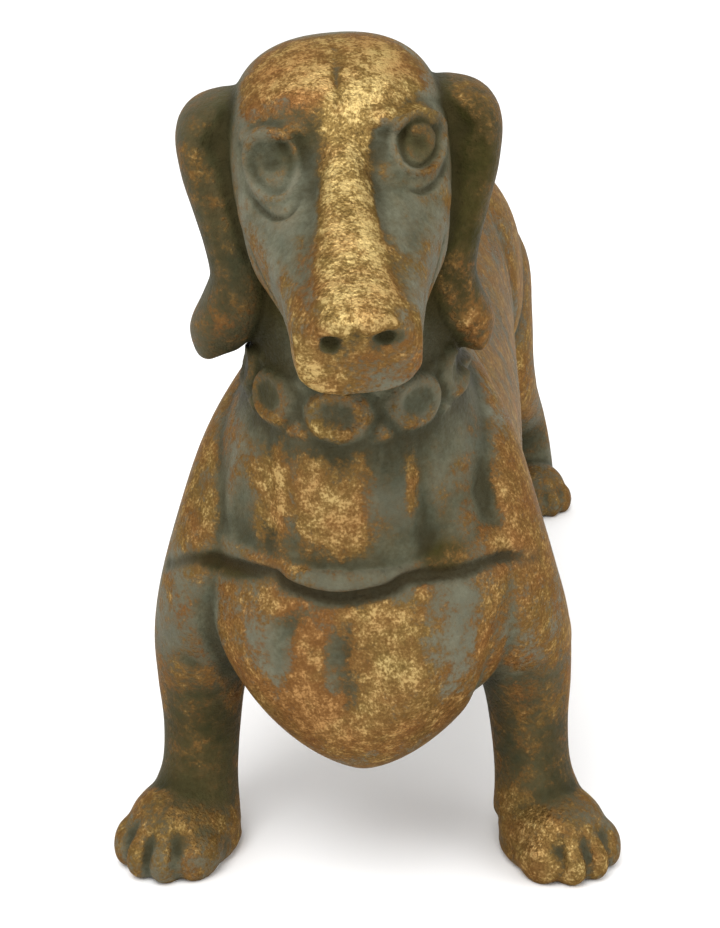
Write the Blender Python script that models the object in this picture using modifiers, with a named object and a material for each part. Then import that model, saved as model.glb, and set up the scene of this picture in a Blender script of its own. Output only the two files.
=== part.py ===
"""Standing dachshund figure with a medallion collar, cast in one piece.

The figure faces -Y, +Z is up, and the origin is on the ground under the middle of its bounding box.
Its pose and carving are drawn in units of a 150th of its height, so a unit is a millimetre at full size.
"""

import math

import bmesh
import bpy
import numpy as np
from mathutils import Matrix, Vector
from mathutils.bvhtree import BVHTree

# Driving dimensions, in metres
HEIGHT = 0.150
COLLAR_WIDTH = 0.0092
COLLAR_RELIEF = 0.0010
MEDALLION_LENGTH = 0.0106
MEDALLION_RIM = 0.0012
MEDALLION_COUNT = 10

UNIT = HEIGHT / 150

# Working fineness
SKIN_STEP = 0.0010
SKIN_FACES = 9600
RING_SIDES = 64
RINGS_PER_SECTION = 5
LINE_STEPS = 6

# The head's place: its origin is the stop between the eyes, and it looks down and a little to its left
STOP = Vector((1.4, -21.5, 134.5))
HEAD_PITCH = math.radians(25)
HEAD_YAW = math.radians(7)
HEAD_ROLL = math.radians(-3.5)
EAR_SHIFT = Vector((0.2, 0, 0))

# The collar's place, lower at the throat than at the nape
COLLAR_CENTRE = Vector((0.8, 0.5, 96.2))
COLLAR_TILT = math.radians(12)
COLLAR_TURN = math.radians(-3)
NECK_OVAL = (20.6, 26.5)

# How the fore legs stand: side, spread, how far back, and the paw's reach outwards, turn in degrees and size
FORE_STANCE = ((-1, 1.2, 0, 33.6, 20, 1.0), (1, 1.0, 1.8, 34.5, 30, 0.95))

BRONZE = (0.33, 0.25, 0.13)


def clear_scene():
    for obj in list(bpy.data.objects):
        bpy.data.objects.remove(obj, do_unlink=True)


def bronze_material():
    material = bpy.data.materials.new("gilded bronze")
    material.use_nodes = True
    shader = material.node_tree.nodes["Principled BSDF"]
    shader.inputs["Base Color"].default_value = (*BRONZE, 1)
    shader.inputs["Metallic"].default_value = 0.7
    shader.inputs["Roughness"].default_value = 0.5
    return material


def smooth_rows(rows, per_span):
    """Catmull-Rom through rows of numbers, with per_span steps from each row to the next."""
    rows = np.asarray(rows, float)
    padded = np.vstack([2 * rows[0] - rows[1], rows, 2 * rows[-1] - rows[-2]])
    made = []
    for a, b, c, d in zip(padded, padded[1:], padded[2:], padded[3:]):
        for t in np.arange(per_span) / per_span:
            bend = (2 * a - 5 * b + 4 * c - d) * t**2 + (3 * b - a - 3 * c + d) * t**3
            made.append(0.5 * (2 * b + (c - a) * t + bend))
    made.append(rows[-1])
    return np.array(made)


def new_object(name, points, faces, place=None):
    """A mesh object of points in figure units, moved by place, which is in figure units too."""
    mesh = bpy.data.meshes.new(name)
    mesh.from_pydata([tuple(p) for p in points], [], faces)
    mesh.transform(Matrix.Scale(UNIT, 4) @ (place or Matrix.Identity(4)))
    obj = bpy.data.objects.new(name, mesh)
    bpy.context.scene.collection.objects.link(obj)
    return obj


def loft(name, sections, across, place=None):
    """A closed skin through sections (x, y, z, half width, fore, aft, squareness fore, squareness aft).

    Each section stands square to the line through their centres. Its width runs along across, fore runs
    along the line's direction crossed with that, and squareness is 1 for an ellipse and 0 for a diamond.
    """
    rows = smooth_rows(sections, RINGS_PER_SECTION)
    centres = rows[:, :3]
    along = np.gradient(centres, axis=0)
    along /= np.linalg.norm(along, axis=1)[:, None]
    angles = np.arange(RING_SIDES) * 2 * math.pi / RING_SIDES
    points = []
    for centre, direction, row in zip(centres, along, rows):
        wide = np.array(across, float) - direction * (direction @ across)
        wide /= np.linalg.norm(wide)
        fore = np.cross(direction, wide)
        half, front, back, square_front, square_back = np.maximum(row[3:], 0.05)
        for angle in angles:
            c, s = math.cos(angle), math.sin(angle)
            power = 2 - (square_front if s > 0 else square_back)
            reach = front if s > 0 else back
            points.append(
                centre
                + wide * half * math.copysign(abs(c) ** power, c)
                + fore * reach * math.copysign(abs(s) ** power, s)
            )
    count = len(rows)
    faces = []
    for ring in range(count - 1):
        for k in range(RING_SIDES):
            a, b = ring * RING_SIDES + k, ring * RING_SIDES + (k + 1) % RING_SIDES
            faces.append((a, b, b + RING_SIDES, a + RING_SIDES))
    faces.append(tuple(reversed(range(RING_SIDES))))
    faces.append(tuple(range((count - 1) * RING_SIDES, count * RING_SIDES)))
    return new_object(name, points, faces, place)


def bulge(name, centre, radii, place=None, turn=(0, 0, 0)):
    """An ellipsoid of flesh, bone or toe, turned by Euler angles in degrees."""
    bpy.ops.mesh.primitive_uv_sphere_add(segments=24, ring_count=12, radius=1)
    obj = bpy.context.object
    obj.name = name
    turned = Matrix.Rotation(math.radians(turn[2]), 4, "Z") @ Matrix.Rotation(math.radians(turn[1]), 4, "Y")
    turned = turned @ Matrix.Rotation(math.radians(turn[0]), 4, "X")
    local = Matrix.Translation(centre) @ turned @ Matrix.Diagonal((*radii, 1))
    obj.data.transform(Matrix.Scale(UNIT, 4) @ (place or Matrix.Identity(4)) @ local)
    return obj


def hanging_place():
    """The ears' frame: it turns with the head, and hangs straight."""
    return Matrix.Translation(STOP + EAR_SHIFT) @ Matrix.Rotation(HEAD_YAW, 4, "Z")


def face_place():
    """The face's frame: it turns and tilts with the head, and looks straight ahead."""
    return Matrix.Translation(STOP) @ Matrix.Rotation(HEAD_YAW, 4, "Z") @ Matrix.Rotation(HEAD_ROLL, 4, "Y")


def head_place():
    """The head's own frame: +X to its left, -Y along the muzzle, +Z out of the forehead."""
    return face_place() @ Matrix.Rotation(HEAD_PITCH, 4, "X")


def collar_place():
    """The collar's frame: +Z along the neck, -Y towards the throat."""
    tilt = Matrix.Rotation(COLLAR_TILT, 4, "X")
    return Matrix.Translation(COLLAR_CENTRE) @ tilt @ Matrix.Rotation(COLLAR_TURN, 4, "Z")


def trunk():
    """Deep keeled chest, long level back, tucked loin and rounded rump."""
    return [
        loft(
            "trunk",
            [
                # x, y, z, half width, drop, rise, squareness below, squareness above
                (1, -24.5, 50, 9, 10, 8, 1, 1),
                (1.2, -22, 50, 17, 19, 14, 0.9, 1),
                (1.3, -14, 50.5, 24.5, 28, 26, 0.72, 1),
                (1.4, -4, 52, 28.5, 33.4, 34, 0.58, 1),
                (1.2, 10, 53, 29, 36, 38, 0.58, 1),
                (0.6, 28, 55, 28.8, 36, 38, 0.72, 1),
                (0, 50, 56, 28.5, 34.5, 37.5, 0.85, 1.05),
                (0, 82, 57, 27.6, 32, 37.5, 0.95, 1.05),
                (0, 112, 60, 26, 29, 37, 1, 1.1),
                (0, 136, 63, 25, 26.5, 36.5, 1, 1.12),
                (0, 157, 66, 26.8, 26, 35.5, 1, 1.15),
                (0, 173, 66, 26, 25, 33, 1, 1.12),
                (0, 187, 66, 22, 22, 26.5, 1, 1),
                (0, 197, 66, 15, 16, 18, 1, 1),
                (0, 202, 65, 7, 9, 9, 1, 1),
            ],
            (1, 0, 0),
        )
    ]


def neck():
    """Thick neck that falls straight from the throat into the breast."""
    return [
        loft(
            "neck",
            [
                # x, y, z, half width, aft, fore, squareness aft, squareness fore
                (0.3, 10, 58, 16, 20, 22, 1, 1),
                (0.3, 8.6, 63, 24.5, 26, 29.8, 1, 1),
                (0.3, 8, 67, 28, 29, 32.4, 1, 1),
                (0.2, 7, 73, 27.4, 33, 31.5, 1, 1),
                (0.3, 4, 82, 23.6, 30, 27.8, 1, 1),
                (0.8, 2, 93, 18.4, 25, 23.2, 1, 1),
                (0.4, 1, 105, 16.2, 20, 19, 1, 1),
                (-0.6, 1, 118, 15, 17, 15, 1, 1),
                (-1, 1, 130, 13, 13, 12, 1, 1),
            ],
            (1, 0, 0),
        )
    ]


def head(place):
    """Flat-topped skull, straight bridge, square-lipped muzzle, brows and cheekbones."""
    made = [
        loft(
            "skull",
            [
                # x, y, z, half width, drop, rise, squareness below, squareness above
                (0, 37, -9, 7, 6, 5, 1, 1),
                (0, 33, -9, 12.5, 12, 9.5, 1, 1.1),
                (0, 26, -9, 16.2, 16, 14, 1, 1.2),
                (0, 17, -9, 17.6, 17, 16.5, 1, 1.28),
                (0, 8, -9, 17.6, 16, 16, 1, 1.28),
                (0, 2, -9, 17, 15, 13.4, 1.1, 1.25),
                (0, -3, -9, 15.2, 13, 10, 1.1, 1.2),
                (0, -9, -10, 12, 10, 7.5, 1, 1.1),
                (0, -16, -11, 9, 8, 6, 1, 1),
            ],
            (-1, 0, 0),
            place,
        ),
        loft(
            "muzzle",
            [
                (0, 8, -9, 17, 16, 9, 1.3, 1),
                (0, 0, -9.2, 16.6, 15.5, 8.8, 1.4, 1),
                (0, -6, -9.4, 15.6, 13.5, 8.6, 1.5, 1),
                (0, -12, -9.6, 13.8, 11.2, 8.3, 1.5, 1.05),
                (0, -20, -9.8, 11.4, 9.4, 8.0, 1.45, 1.12),
                (-0.1, -28, -9.9, 10, 8.3, 7.6, 1.45, 1.2),
                (-0.2, -33, -9.8, 9.6, 7.8, 7.4, 1.45, 1.25),
                (-0.2, -36, -9.8, 8.9, 7.3, 6.9, 1.4, 1.25),
                (-0.2, -37.4, -9.8, 7.6, 6.6, 5.8, 1.3, 1.2),
            ],
            (-1, 0, 0),
            place,
        ),
        loft(
            "bridge",
            [
                (0, 9, -4, 6.2, 5, 9.4, 1, 1),
                (0.2, 3, -4, 4.9, 5, 8.0, 1, 1.05),
                (0.3, -3, -4.2, 4.4, 5, 6.6, 1, 1.2),
                (0.2, -10, -4.6, 4.9, 5, 5.5, 1, 1.3),
                (0.1, -18, -5.0, 5.7, 5, 4.8, 1, 1.35),
                (0, -26, -5.4, 6.5, 5, 4.2, 1, 1.35),
                (0, -31, -5.6, 6.9, 5, 4.2, 1, 1.3),
                (0, -35, -6.2, 6.6, 5.2, 4.4, 1.1, 1.25),
                (0, -36.4, -7, 5.6, 4.6, 3.6, 1.1, 1.2),
            ],
            (-1, 0, 0),
            place,
        ),
    ]
    for side, up in ((-1, 0), (1, 0.4)):
        lean = (-12, side * 14, side * 8)
        made.append(bulge("brow", (side * 9.6, 4.6, 2.3 + up), (6.4, 4.6, 2.0), place, lean))
        made.append(bulge("cheekbone", (side * 13.2, 1, -9), (3.8, 8, 6), place))
        made.append(bulge("eyeball", (side * 11.5, 2.0, up - 1.3), (3.7, 2.4, 3.9), place))
        made.append(bulge("jowl", (side * 11.6, -1, -15.5), (4.2, 9, 6), place))
    made.append(bulge("lip", (-6.2, -28, -13.9), (3.4, 8.2, 4.5), place))
    made.append(bulge("lip", (5.8, -25.5, -12.6), (3.8, 9.4, 4.3), place))
    return made


def ear(side, lift, flare, place):
    """Hanging ear leaf: it rolls out over its root, narrows against the jaw and flares at the tip."""
    return [
        loft(
            "ear",
            [
                # x, y, z, half length, outward, inward, squareness outward, squareness inward
                (side * 14.0, 21.5, 4.6 + lift, 6, 2.6, 5, 1, 1),
                (side * 18.6, 22, 3.9 + lift, 9, 3.4, 8, 1, 1.1),
                (side * 22.4, 22.5, 1.2 + lift, 11.5, 4.1, 9, 1.1, 1.2),
                (side * 22.5, 23, -4.6 + lift / 2, 13.5, 3.8, 8, 1.2, 1.2),
                (side * 21.2, 23, -11, 14, 3.4, 8, 1.2, 1.2),
                (side * 19.8, 22.5, -17.5, 13.5, 3.1, 8, 1.2, 1.2),
                (side * 19.2, 22, -23.5, 12.5, 3.0, 8, 1.2, 1.2),
                (side * (20 + flare / 2), 21.5, -28.5, 10.5, 3.6, 8, 1.2, 1.2),
                (side * (21.4 + flare), 21, -33, 8.5, 4.0, 6.4, 1.1, 1.1),
                (side * (22.2 + flare), 20.5, -36, 5.5, 2.6, 4.6, 1, 1),
                (side * (22.2 + flare), 20.5, -37.4, 3, 1, 1.4, 1, 1),
            ],
            (0, side, 0),
            place,
        ),
        bulge("ear root", (side * 18, 17.5, -4), (3.6, 7, 9), place),
    ]


def paw_place(side, x, y, turn_out, size):
    """A paw's frame: -Y along its toes, and its sole at the floor."""
    turned = Matrix.Rotation(side * math.radians(turn_out), 4, "Z")
    return Matrix.Translation((side * x, y, 0)) @ turned @ Matrix.Scale(size, 4)


def paw(place):
    """Rounded paw with four toes in a fan."""
    made = [
        bulge("paw", (0, -0.5, 5.4), (10.2, 12.4, 8.8), place),
        bulge("pad", (0, -1, 2.2), (10.4, 13, 4), place),
    ]
    for lateral, forward, width in ((7.4, -7.6, 3.0), (2.6, -10.3, 3.3)):
        for side in (-1, 1):
            fan = (16, 0, -side * lateral * 2.2)
            made.append(bulge("toe", (side * lateral, forward, 3.8), (width, 5.1, 4.5), place, fan))
    return made


def fore_leg(side, spread, back, reach, turn_out, size):
    """Shoulder blade, upper arm and short straight forearm, moved outwards by spread and back."""
    return [
        loft(
            "shoulder",
            [
                # x, y, z, half width, front, rear, squareness front, squareness rear
                (side * 12, 22, 88, 8, 12, 12, 1, 1),
                (side * 18, 14, 76, 9.5, 16, 15, 1, 1),
                (side * 22, 6, 64, 10.2, 17, 15, 1, 1),
                (side * (24.6 + spread), 3, 52, 10.2, 15, 14, 1, 1),
                (side * (27.2 + spread), 4 + back, 42, 9.6, 12, 12, 1, 1),
                (side * (28.7 + spread), 5 + back, 33, 8.2, 9.5, 9.6, 1, 1),
                (side * (29.2 + spread), 5 + back, 24, 7.2, 7.8, 7.8, 1, 1),
                (side * (29.9 + spread), 4 + back, 15, 7.1, 7.6, 7.4, 1, 1),
                (side * (31 + spread), 2.5 + back, 8, 8.6, 9, 8, 1, 1),
            ],
            (1, 0, 0),
        ),
        bulge("elbow", (side * (32.8 + spread), 7 + back, 40), (4.2, 5.5, 8.5)),
    ] + paw(paw_place(side, reach, back - 1, turn_out, size))


def hind_leg(side):
    """Broad thigh, bent stifle, hock and short upright metatarsus."""
    return [
        loft(
            "thigh",
            [
                (side * 10, 178, 82, 9, 16, 15, 1, 1),
                (side * 15.7, 174, 70, 12, 20, 19, 1, 1),
                (side * 18.3, 170, 57, 10.8, 19.5, 18, 1, 1),
                (side * 20.1, 169, 45, 9.4, 14.5, 15, 1, 1),
                (side * 22, 175, 36, 8.2, 10, 11, 1, 1),
                (side * 24, 184, 29, 7, 7.5, 8.4, 1, 1),
                (side * 26, 192, 22, 6.2, 6.2, 7, 1, 1),
                (side * 27.5, 193.5, 15, 6, 6.2, 6.2, 1, 1),
                (side * 28, 191.5, 9, 6.4, 7, 6.2, 1, 1),
                (side * 28.3, 190, 4, 6.6, 7, 5.4, 1, 1),
            ],
            (1, 0, 0),
        )
    ] + paw(paw_place(side, 29.2, 184, 18, 0.84))


def tail():
    """Tapering tail that sweeps down and back from the rump."""
    return [
        loft(
            "tail",
            [
                (0, 187, 84, 8, 8, 8, 1, 1),
                (0, 198, 82, 7, 7, 7, 1, 1),
                (0, 210, 75, 5.8, 5.8, 5.8, 1, 1),
                (0.5, 220, 64, 4.8, 4.8, 4.8, 1, 1),
                (1, 228, 52, 4.0, 4.0, 4.0, 1, 1),
                (1.5, 235, 41, 3.3, 3.3, 3.3, 1, 1),
                (2, 241, 34, 2.6, 2.6, 2.6, 1, 1),
                (2, 245, 31, 1.6, 1.6, 1.6, 1, 1),
            ],
            (1, 0, 0),
        )
    ]


def applied(obj):
    """The object with its modifiers worked into its mesh."""
    graph = bpy.context.evaluated_depsgraph_get()
    mesh = bpy.data.meshes.new_from_object(obj.evaluated_get(graph))
    obj.modifiers.clear()
    obj.data = mesh
    return obj


def fuse(objects, name, step, rounds):
    """Joins closed skins into one by remeshing them, and softens the joins."""
    joined = bmesh.new()
    for obj in objects:
        joined.from_mesh(obj.data)
    mesh = bpy.data.meshes.new(name)
    joined.to_mesh(mesh)
    joined.free()
    for obj in objects:
        bpy.data.objects.remove(obj, do_unlink=True)
    body = bpy.data.objects.new(name, mesh)
    bpy.context.scene.collection.objects.link(body)
    skin = body.modifiers.new("skin", "REMESH")
    skin.mode = "VOXEL"
    skin.voxel_size = step
    skin.use_smooth_shade = True
    soften = body.modifiers.new("soften", "SMOOTH")
    soften.factor = 0.5
    soften.iterations = rounds
    return applied(body)


def arc(centre, radii, start, end, count=7):
    """Points of an elliptic arc in a drawing, with its angles in degrees from the drawing's +X."""
    return [
        (centre[0] + radii[0] * math.cos(math.radians(a)), centre[1] + radii[1] * math.sin(math.radians(a)))
        for a in np.linspace(start, end, count)
    ]


def mirrored(points, side):
    return [(side * a, b) for a, b in points]


def face_lines():
    """Lines of the face, seen from straight ahead: (points, half width, height, tapers at its ends)."""
    lines = [([(0.4, 17), (0.4, 12), (0.4, 7), (0.4, 3)], 0.5, -0.25, True)]
    for side, eye, wide, tall in ((-1, (-10.7, -0.5), 4.2, 4.8), (1, (12.1, 0.6), 3.8, 3.9)):
        lines += [
            (arc(eye, (wide, tall), 200, -20), 0.7, 0.4, True),
            (arc(eye, (wide - 0.2, tall), 190, 350), 0.65, 0.5, True),
            (arc(eye, (2.6, 3.1), 0, 360, 13), 0.55, -0.4, False),
            ([(eye[0] - 0.3, eye[1]), (eye[0] + 0.3, eye[1])], 0.9, -0.3, False),
            (arc(eye, (5.5, 6.0), 165, 15), 0.9, -0.3, True),
            (arc(eye, (5.2, 7.0), 215, 320) if side < 0 else arc(eye, (5.0, 6.8), 330, 240), 0.7, -0.5, True),
            (mirrored([(5.4, -1.8), (5.6, 0.4), (6.0, 2.0)], side), 1.6, -0.5, True),
            (mirrored([(3.6, 8.2), (7.5, 9.2), (11.5, 8.6), (15.6, 5.6)], side), 1.8, 0.2, True),
            (mirrored([(4.6, 1), (4.6, -5), (5.4, -11), (6.8, -16)], side), 1.4, -0.1 - 0.1 * side, True),
            (mirrored([(8.8, -17), (8.9, -22), (8.6, -28.5)], side), 0.9, 0.4, True),
        ]
    return lines


def nose_lines():
    """Lines of the nose and lips, seen along the muzzle."""
    lines = [([(0, -2.8), (-0.2, -3.8), (0, -5.4)], 1.0, -0.7, True)]
    for side in (-1, 1):
        lines += [
            (mirrored([(3.0, -7.0), (4.1, -6.0), (5.2, -6.6)], side), 1.2, -1.5, True),
            (mirrored([(1.8, -3.0), (4.2, -2.8), (6.0, -4.6)], side), 0.9, 0.45, True),
        ]
    return lines


def mouth_lines():
    """The mouth's line, seen from the head's side: (along the muzzle, up)."""
    return [
        ([(-32, -13.8), (-27, -14.6), (-20, -14.4), (-12, -13.6), (-7, -11.4)], 0.7, -0.7, True),
        ([(-30, -3.6), (-20, -4.4), (-10, -5.6), (-3, -7.4)], 2.0, -0.4, True),
    ]


def paw_lines():
    """Grooves between the toes, seen along the paw."""
    return [([(a * 0.7, 11.5), (a * 0.9, 8), (a, 4), (a, 1)], 0.8, -0.45, True) for a in (-5, 0, 5)]


def breast_lines():
    """Folds of the breast, seen from straight ahead."""
    crease = [
        (-33, 59),
        (-28, 62),
        (-16.3, 63.7),
        (-11.8, 64.2),
        (-9.2, 62.4),
        (-2, 61),
        (6.7, 62.2),
        (11, 64.2),
        (19, 63.6),
        (24.4, 64),
        (28, 63.2),
        (32, 61.5),
    ]
    return [
        (crease, 1.1, -1.5, True),
        ([(a, b + 3.4) for a, b in crease[2:9]], 2.6, 0.8, True),
        ([(-12.5, 89), (-12.8, 80), (-12.4, 70), (-12, 66)], 1.6, -0.6, True),
        ([(12.5, 89), (13.2, 80), (13.4, 70), (12.6, 66)], 2.0, -0.7, True),
        ([(-17, 86), (-19.5, 76), (-20, 68)], 2.2, 0.6, True),
        ([(-26, 78), (-27, 70), (-25, 65)], 2.6, -0.7, True),
        ([(22, 80), (23, 72), (21, 66)], 2.8, -0.9, True),
        ([(0.5, 57), (0.3, 50), (0, 40), (0, 32)], 2.2, -0.4, True),
        ([(-9, 56), (-10, 48), (-7, 40)], 4.2, 0.7, True),
        ([(9.5, 56), (10.5, 48), (7.5, 40)], 4.2, 0.7, True),
        ([(-27, 56), (-25, 46), (-22.5, 36), (-20.5, 30)], 2.2, -0.8, True),
        ([(26, 56), (24, 46), (21, 36), (18.5, 30)], 2.2, -0.8, True),
        ([(-31, 44), (-29, 41), (-27, 40)], 1.8, -0.6, True),
    ]


def ear_lines():
    """The ears' troughs behind their worn rims, seen from straight ahead."""
    lines = []
    for side in (-1, 1):
        lines += [
            (mirrored([(21.6, 0), (22.2, -5), (20.8, -14), (19.8, -23), (21.2, -31)], side), 2.6, -1.1, True),
        ]
    return lines


def flank_lines():
    """Folds of a flank, seen from its side: (along the body, up)."""
    return [
        ([(24, 84), (29, 72), (30, 60), (25, 48)], 3.0, -0.9, True),
        ([(142, 92), (140, 78), (143, 64), (151, 50), (159, 42)], 3.4, -1.2, True),
        ([(186, 60), (183, 46), (181, 36)], 2.4, -0.7, True),
    ]


def drawn(tree, place, away, points):
    """A smooth line in figure units where points, drawn in a frame and cast away from it, meet the skin."""
    heading = (place.to_3x3() @ away).normalized()
    hits = []
    for a, b in smooth_rows(points, LINE_STEPS):
        flat = Vector((a, 0, b)) if away.x == 0 else Vector((0, a, b))
        start = place @ (flat - away * 70)
        hit = tree.ray_cast(start * UNIT, heading)[0]
        if hit is not None:
            hits.append(np.array(hit) / UNIT)
    return np.array(hits)


def line_relief(points, line, half_width, height, tapers):
    """How far each of the points is raised by a line of the given half width and height."""
    raised = np.zeros(len(points))
    if len(line) < 2:
        return raised
    reach = 2.5 * half_width
    near = np.all((points > line.min(axis=0) - reach) & (points < line.max(axis=0) + reach), axis=1)
    where = np.flatnonzero(near)
    if len(where) == 0:
        return raised
    chosen = points[where]
    distance = np.full(len(where), np.inf)
    progress = np.zeros(len(where))
    for k, (a, b) in enumerate(zip(line, line[1:])):
        leg = b - a
        if leg @ leg > 16 * half_width**2 + 9:
            continue
        t = np.clip((chosen - a) @ leg / max(leg @ leg, 1e-9), 0, 1)
        gap = np.linalg.norm(chosen - a - t[:, None] * leg, axis=1)
        closer = gap < distance
        distance[closer] = gap[closer]
        progress[closer] = (k + t[closer]) / (len(line) - 1)
    strength = np.exp(-((distance / half_width) ** 2))
    if tapers:
        strength *= np.sqrt(np.clip(np.sin(math.pi * np.clip(progress, 0.02, 0.98)), 0, 1))
    raised[where] = strength * height
    return raised


def collar_relief(points, normals):
    """A raised band around the neck with a row of oval ring medallions."""
    place = collar_place().inverted()
    local = points @ np.array(place.to_3x3()).T + np.array(place.translation)
    facing = normals @ np.array(place.to_3x3()).T
    radius = np.hypot(local[:, 0], local[:, 1])
    outward = (facing[:, 0] * local[:, 0] + facing[:, 1] * local[:, 1]) / np.maximum(radius, 1e-6)
    half = COLLAR_WIDTH / UNIT / 2
    edge = np.clip((half - np.abs(local[:, 2])) / 0.7, 0, 1)
    ears = hanging_place().inverted()
    beside = points @ np.array(ears.to_3x3()).T + np.array(ears.translation)
    on_ear = np.clip((np.abs(beside[:, 0]) - 17) / 1.5, 0, 1)
    on_ear *= np.clip((13 - np.abs(beside[:, 1] - 20.5)) / 1.5, 0, 1)
    on_ear *= np.clip((beside[:, 2] + 41) / 1.5, 0, 1)
    neck_reach = np.hypot(local[:, 0] / NECK_OVAL[0], local[:, 1] / NECK_OVAL[1])
    on_neck = np.clip((1.03 - neck_reach) / 0.06, 0, 1) * np.clip((outward - 0.25) / 0.25, 0, 1)
    on_neck *= 1 - on_ear
    pitch = 2 * math.pi / MEDALLION_COUNT
    angle = np.arctan2(local[:, 0], -local[:, 1])
    off = (angle + pitch / 2) % pitch - pitch / 2
    long, tall = MEDALLION_LENGTH / UNIT / 2, half - 0.5
    oval = np.hypot(off * radius / long, local[:, 2] / tall)
    rim = MEDALLION_RIM / UNIT / long
    ring = np.exp(-(((oval - 1 + rim) / (rim * 0.75)) ** 2))
    boss = np.exp(-((oval / 0.34) ** 2))
    gap = np.exp(-((np.maximum(1.14 - oval, 0) / 0.1) ** 2)) * (oval < 1.3)
    relief = COLLAR_RELIEF / UNIT
    return on_neck * edge * relief * (0.75 + 1.05 * ring + 0.35 * boss - 0.4 * gap)


def carve(body):
    """Presses every line and the collar into the body's skin."""
    mesh = body.data
    flat = np.empty(len(mesh.vertices) * 3)
    mesh.vertices.foreach_get("co", flat)
    points = flat.reshape(-1, 3) / UNIT
    normals = np.empty(len(flat))
    mesh.vertices.foreach_get("normal", normals)
    normals = normals.reshape(-1, 3)
    raised = collar_relief(points, normals)
    tree = BVHTree.FromPolygons([v.co for v in mesh.vertices], [tuple(p.vertices) for p in mesh.polygons])
    world = Matrix.Identity(4)
    ahead = Vector((0, 1, 0))
    sheets = [
        (face_place(), ahead, face_lines()),
        (head_place(), ahead, nose_lines()),
        (world, ahead, breast_lines()),
        (hanging_place(), ahead, ear_lines()),
    ]
    for side, _, back, reach, turn_out, size in FORE_STANCE:
        sheets.append((paw_place(side, reach, back - 1, turn_out, size), ahead, paw_lines()))
    for side in (-1, 1):
        inward = Vector((-side, 0, 0))
        sheets += [(head_place(), inward, mouth_lines()), (world, inward, flank_lines())]
    for place, away, lines in sheets:
        for drawing, half_width, height, tapers in lines:
            line = drawn(tree, place, away, drawing)
            raised += line_relief(points, line, half_width, height, tapers)
    moved = (points + normals * raised[:, None]) * UNIT
    mesh.vertices.foreach_set("co", moved.ravel())
    mesh.update()
    return body


def slab(name, low, high):
    """A box between two corners, in metres."""
    bpy.ops.mesh.primitive_cube_add(size=1)
    box = bpy.context.object
    box.name = name
    size = Vector(high) - Vector(low)
    box.data.transform(Matrix.Translation((Vector(low) + Vector(high)) / 2) @ Matrix.Diagonal((*size, 1)))
    return box


def thinned(body, faces):
    """The body with about the given number of triangles."""
    body.data.calc_loop_triangles()
    spare = body.modifiers.new("thin", "DECIMATE")
    spare.ratio = faces / len(body.data.loop_triangles)
    spare.use_collapse_triangulate = True
    return applied(body)


def flat_soled(body):
    """The body with flat soles, cut at the ground."""
    ground = slab("ground", (-1, -1, -1), (1, 1, 0))
    cut = body.modifiers.new("soles", "BOOLEAN")
    cut.operation = "DIFFERENCE"
    cut.solver = "EXACT"
    cut.object = ground
    applied(body)
    bpy.data.objects.remove(ground, do_unlink=True)
    return body


def centred(body):
    """The body with its origin on the ground, under the middle of its bounding box."""
    corners = np.array([v.co for v in body.data.vertices])
    middle = (corners.min(axis=0) + corners.max(axis=0)) / 2
    body.data.transform(Matrix.Translation((-middle[0], -middle[1], 0)))
    return body


def build():
    clear_scene()
    forms = trunk() + neck() + head(head_place()) + tail()
    for side, lift, flare in ((-1, 0, 0.9), (1, 1.1, 0.2)):
        forms += ear(side, lift, flare, hanging_place())
    for stance in FORE_STANCE:
        forms += fore_leg(*stance) + hind_leg(stance[0])
    dog = fuse(forms, "dachshund", SKIN_STEP, 6)
    dog = centred(flat_soled(thinned(carve(dog), SKIN_FACES)))
    dog.data.materials.append(bronze_material())
    return dog


build()
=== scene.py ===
"""Looks of a standing dachshund figure, cast in one piece, with worn gilding over a grey-green patina.

The figure is drawn in units of a 150th of its height, so a unit is a millimetre at full size. In the
drawing the dog faces -Y and the fore paws stand at the origin. The cast skin is fitted to the CAD box
once it is carved.
"""

import math

import bmesh
import bpy
import numpy as np
from mathutils import Matrix, Vector
from mathutils.bvhtree import BVHTree


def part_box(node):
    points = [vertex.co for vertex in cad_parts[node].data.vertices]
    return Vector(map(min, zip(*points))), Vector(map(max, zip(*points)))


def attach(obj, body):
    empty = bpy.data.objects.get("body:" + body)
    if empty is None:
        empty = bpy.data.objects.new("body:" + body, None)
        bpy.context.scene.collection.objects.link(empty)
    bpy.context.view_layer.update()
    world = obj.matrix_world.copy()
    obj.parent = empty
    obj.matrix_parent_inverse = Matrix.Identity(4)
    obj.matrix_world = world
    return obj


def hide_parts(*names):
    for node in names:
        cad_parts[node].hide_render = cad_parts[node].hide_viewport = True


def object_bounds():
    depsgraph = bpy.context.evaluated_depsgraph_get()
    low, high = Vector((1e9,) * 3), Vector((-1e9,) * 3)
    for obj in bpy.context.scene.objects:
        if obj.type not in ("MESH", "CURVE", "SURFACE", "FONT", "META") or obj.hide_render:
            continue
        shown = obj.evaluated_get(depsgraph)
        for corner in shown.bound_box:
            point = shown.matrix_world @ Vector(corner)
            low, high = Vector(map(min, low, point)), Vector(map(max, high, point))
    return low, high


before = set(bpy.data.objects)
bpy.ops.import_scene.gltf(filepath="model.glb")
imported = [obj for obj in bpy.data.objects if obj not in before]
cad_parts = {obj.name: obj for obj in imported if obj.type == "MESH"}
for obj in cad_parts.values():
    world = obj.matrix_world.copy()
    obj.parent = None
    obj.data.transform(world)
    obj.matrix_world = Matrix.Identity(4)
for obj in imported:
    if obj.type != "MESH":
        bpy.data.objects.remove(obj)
cad_box = [list(corner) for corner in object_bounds()]

# Trunk
# A deep keeled chest and a long level back that tucks up at the loin and ends in a rounded rump. It was
# modelled in clay and cast in metal with the rest of the dog, as one hollow shell.
HEIGHT = cad_box[1][2] - cad_box[0][2]
UNIT = HEIGHT / 150
RING_SIDES = 64
RINGS_PER_SECTION = 5


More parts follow.
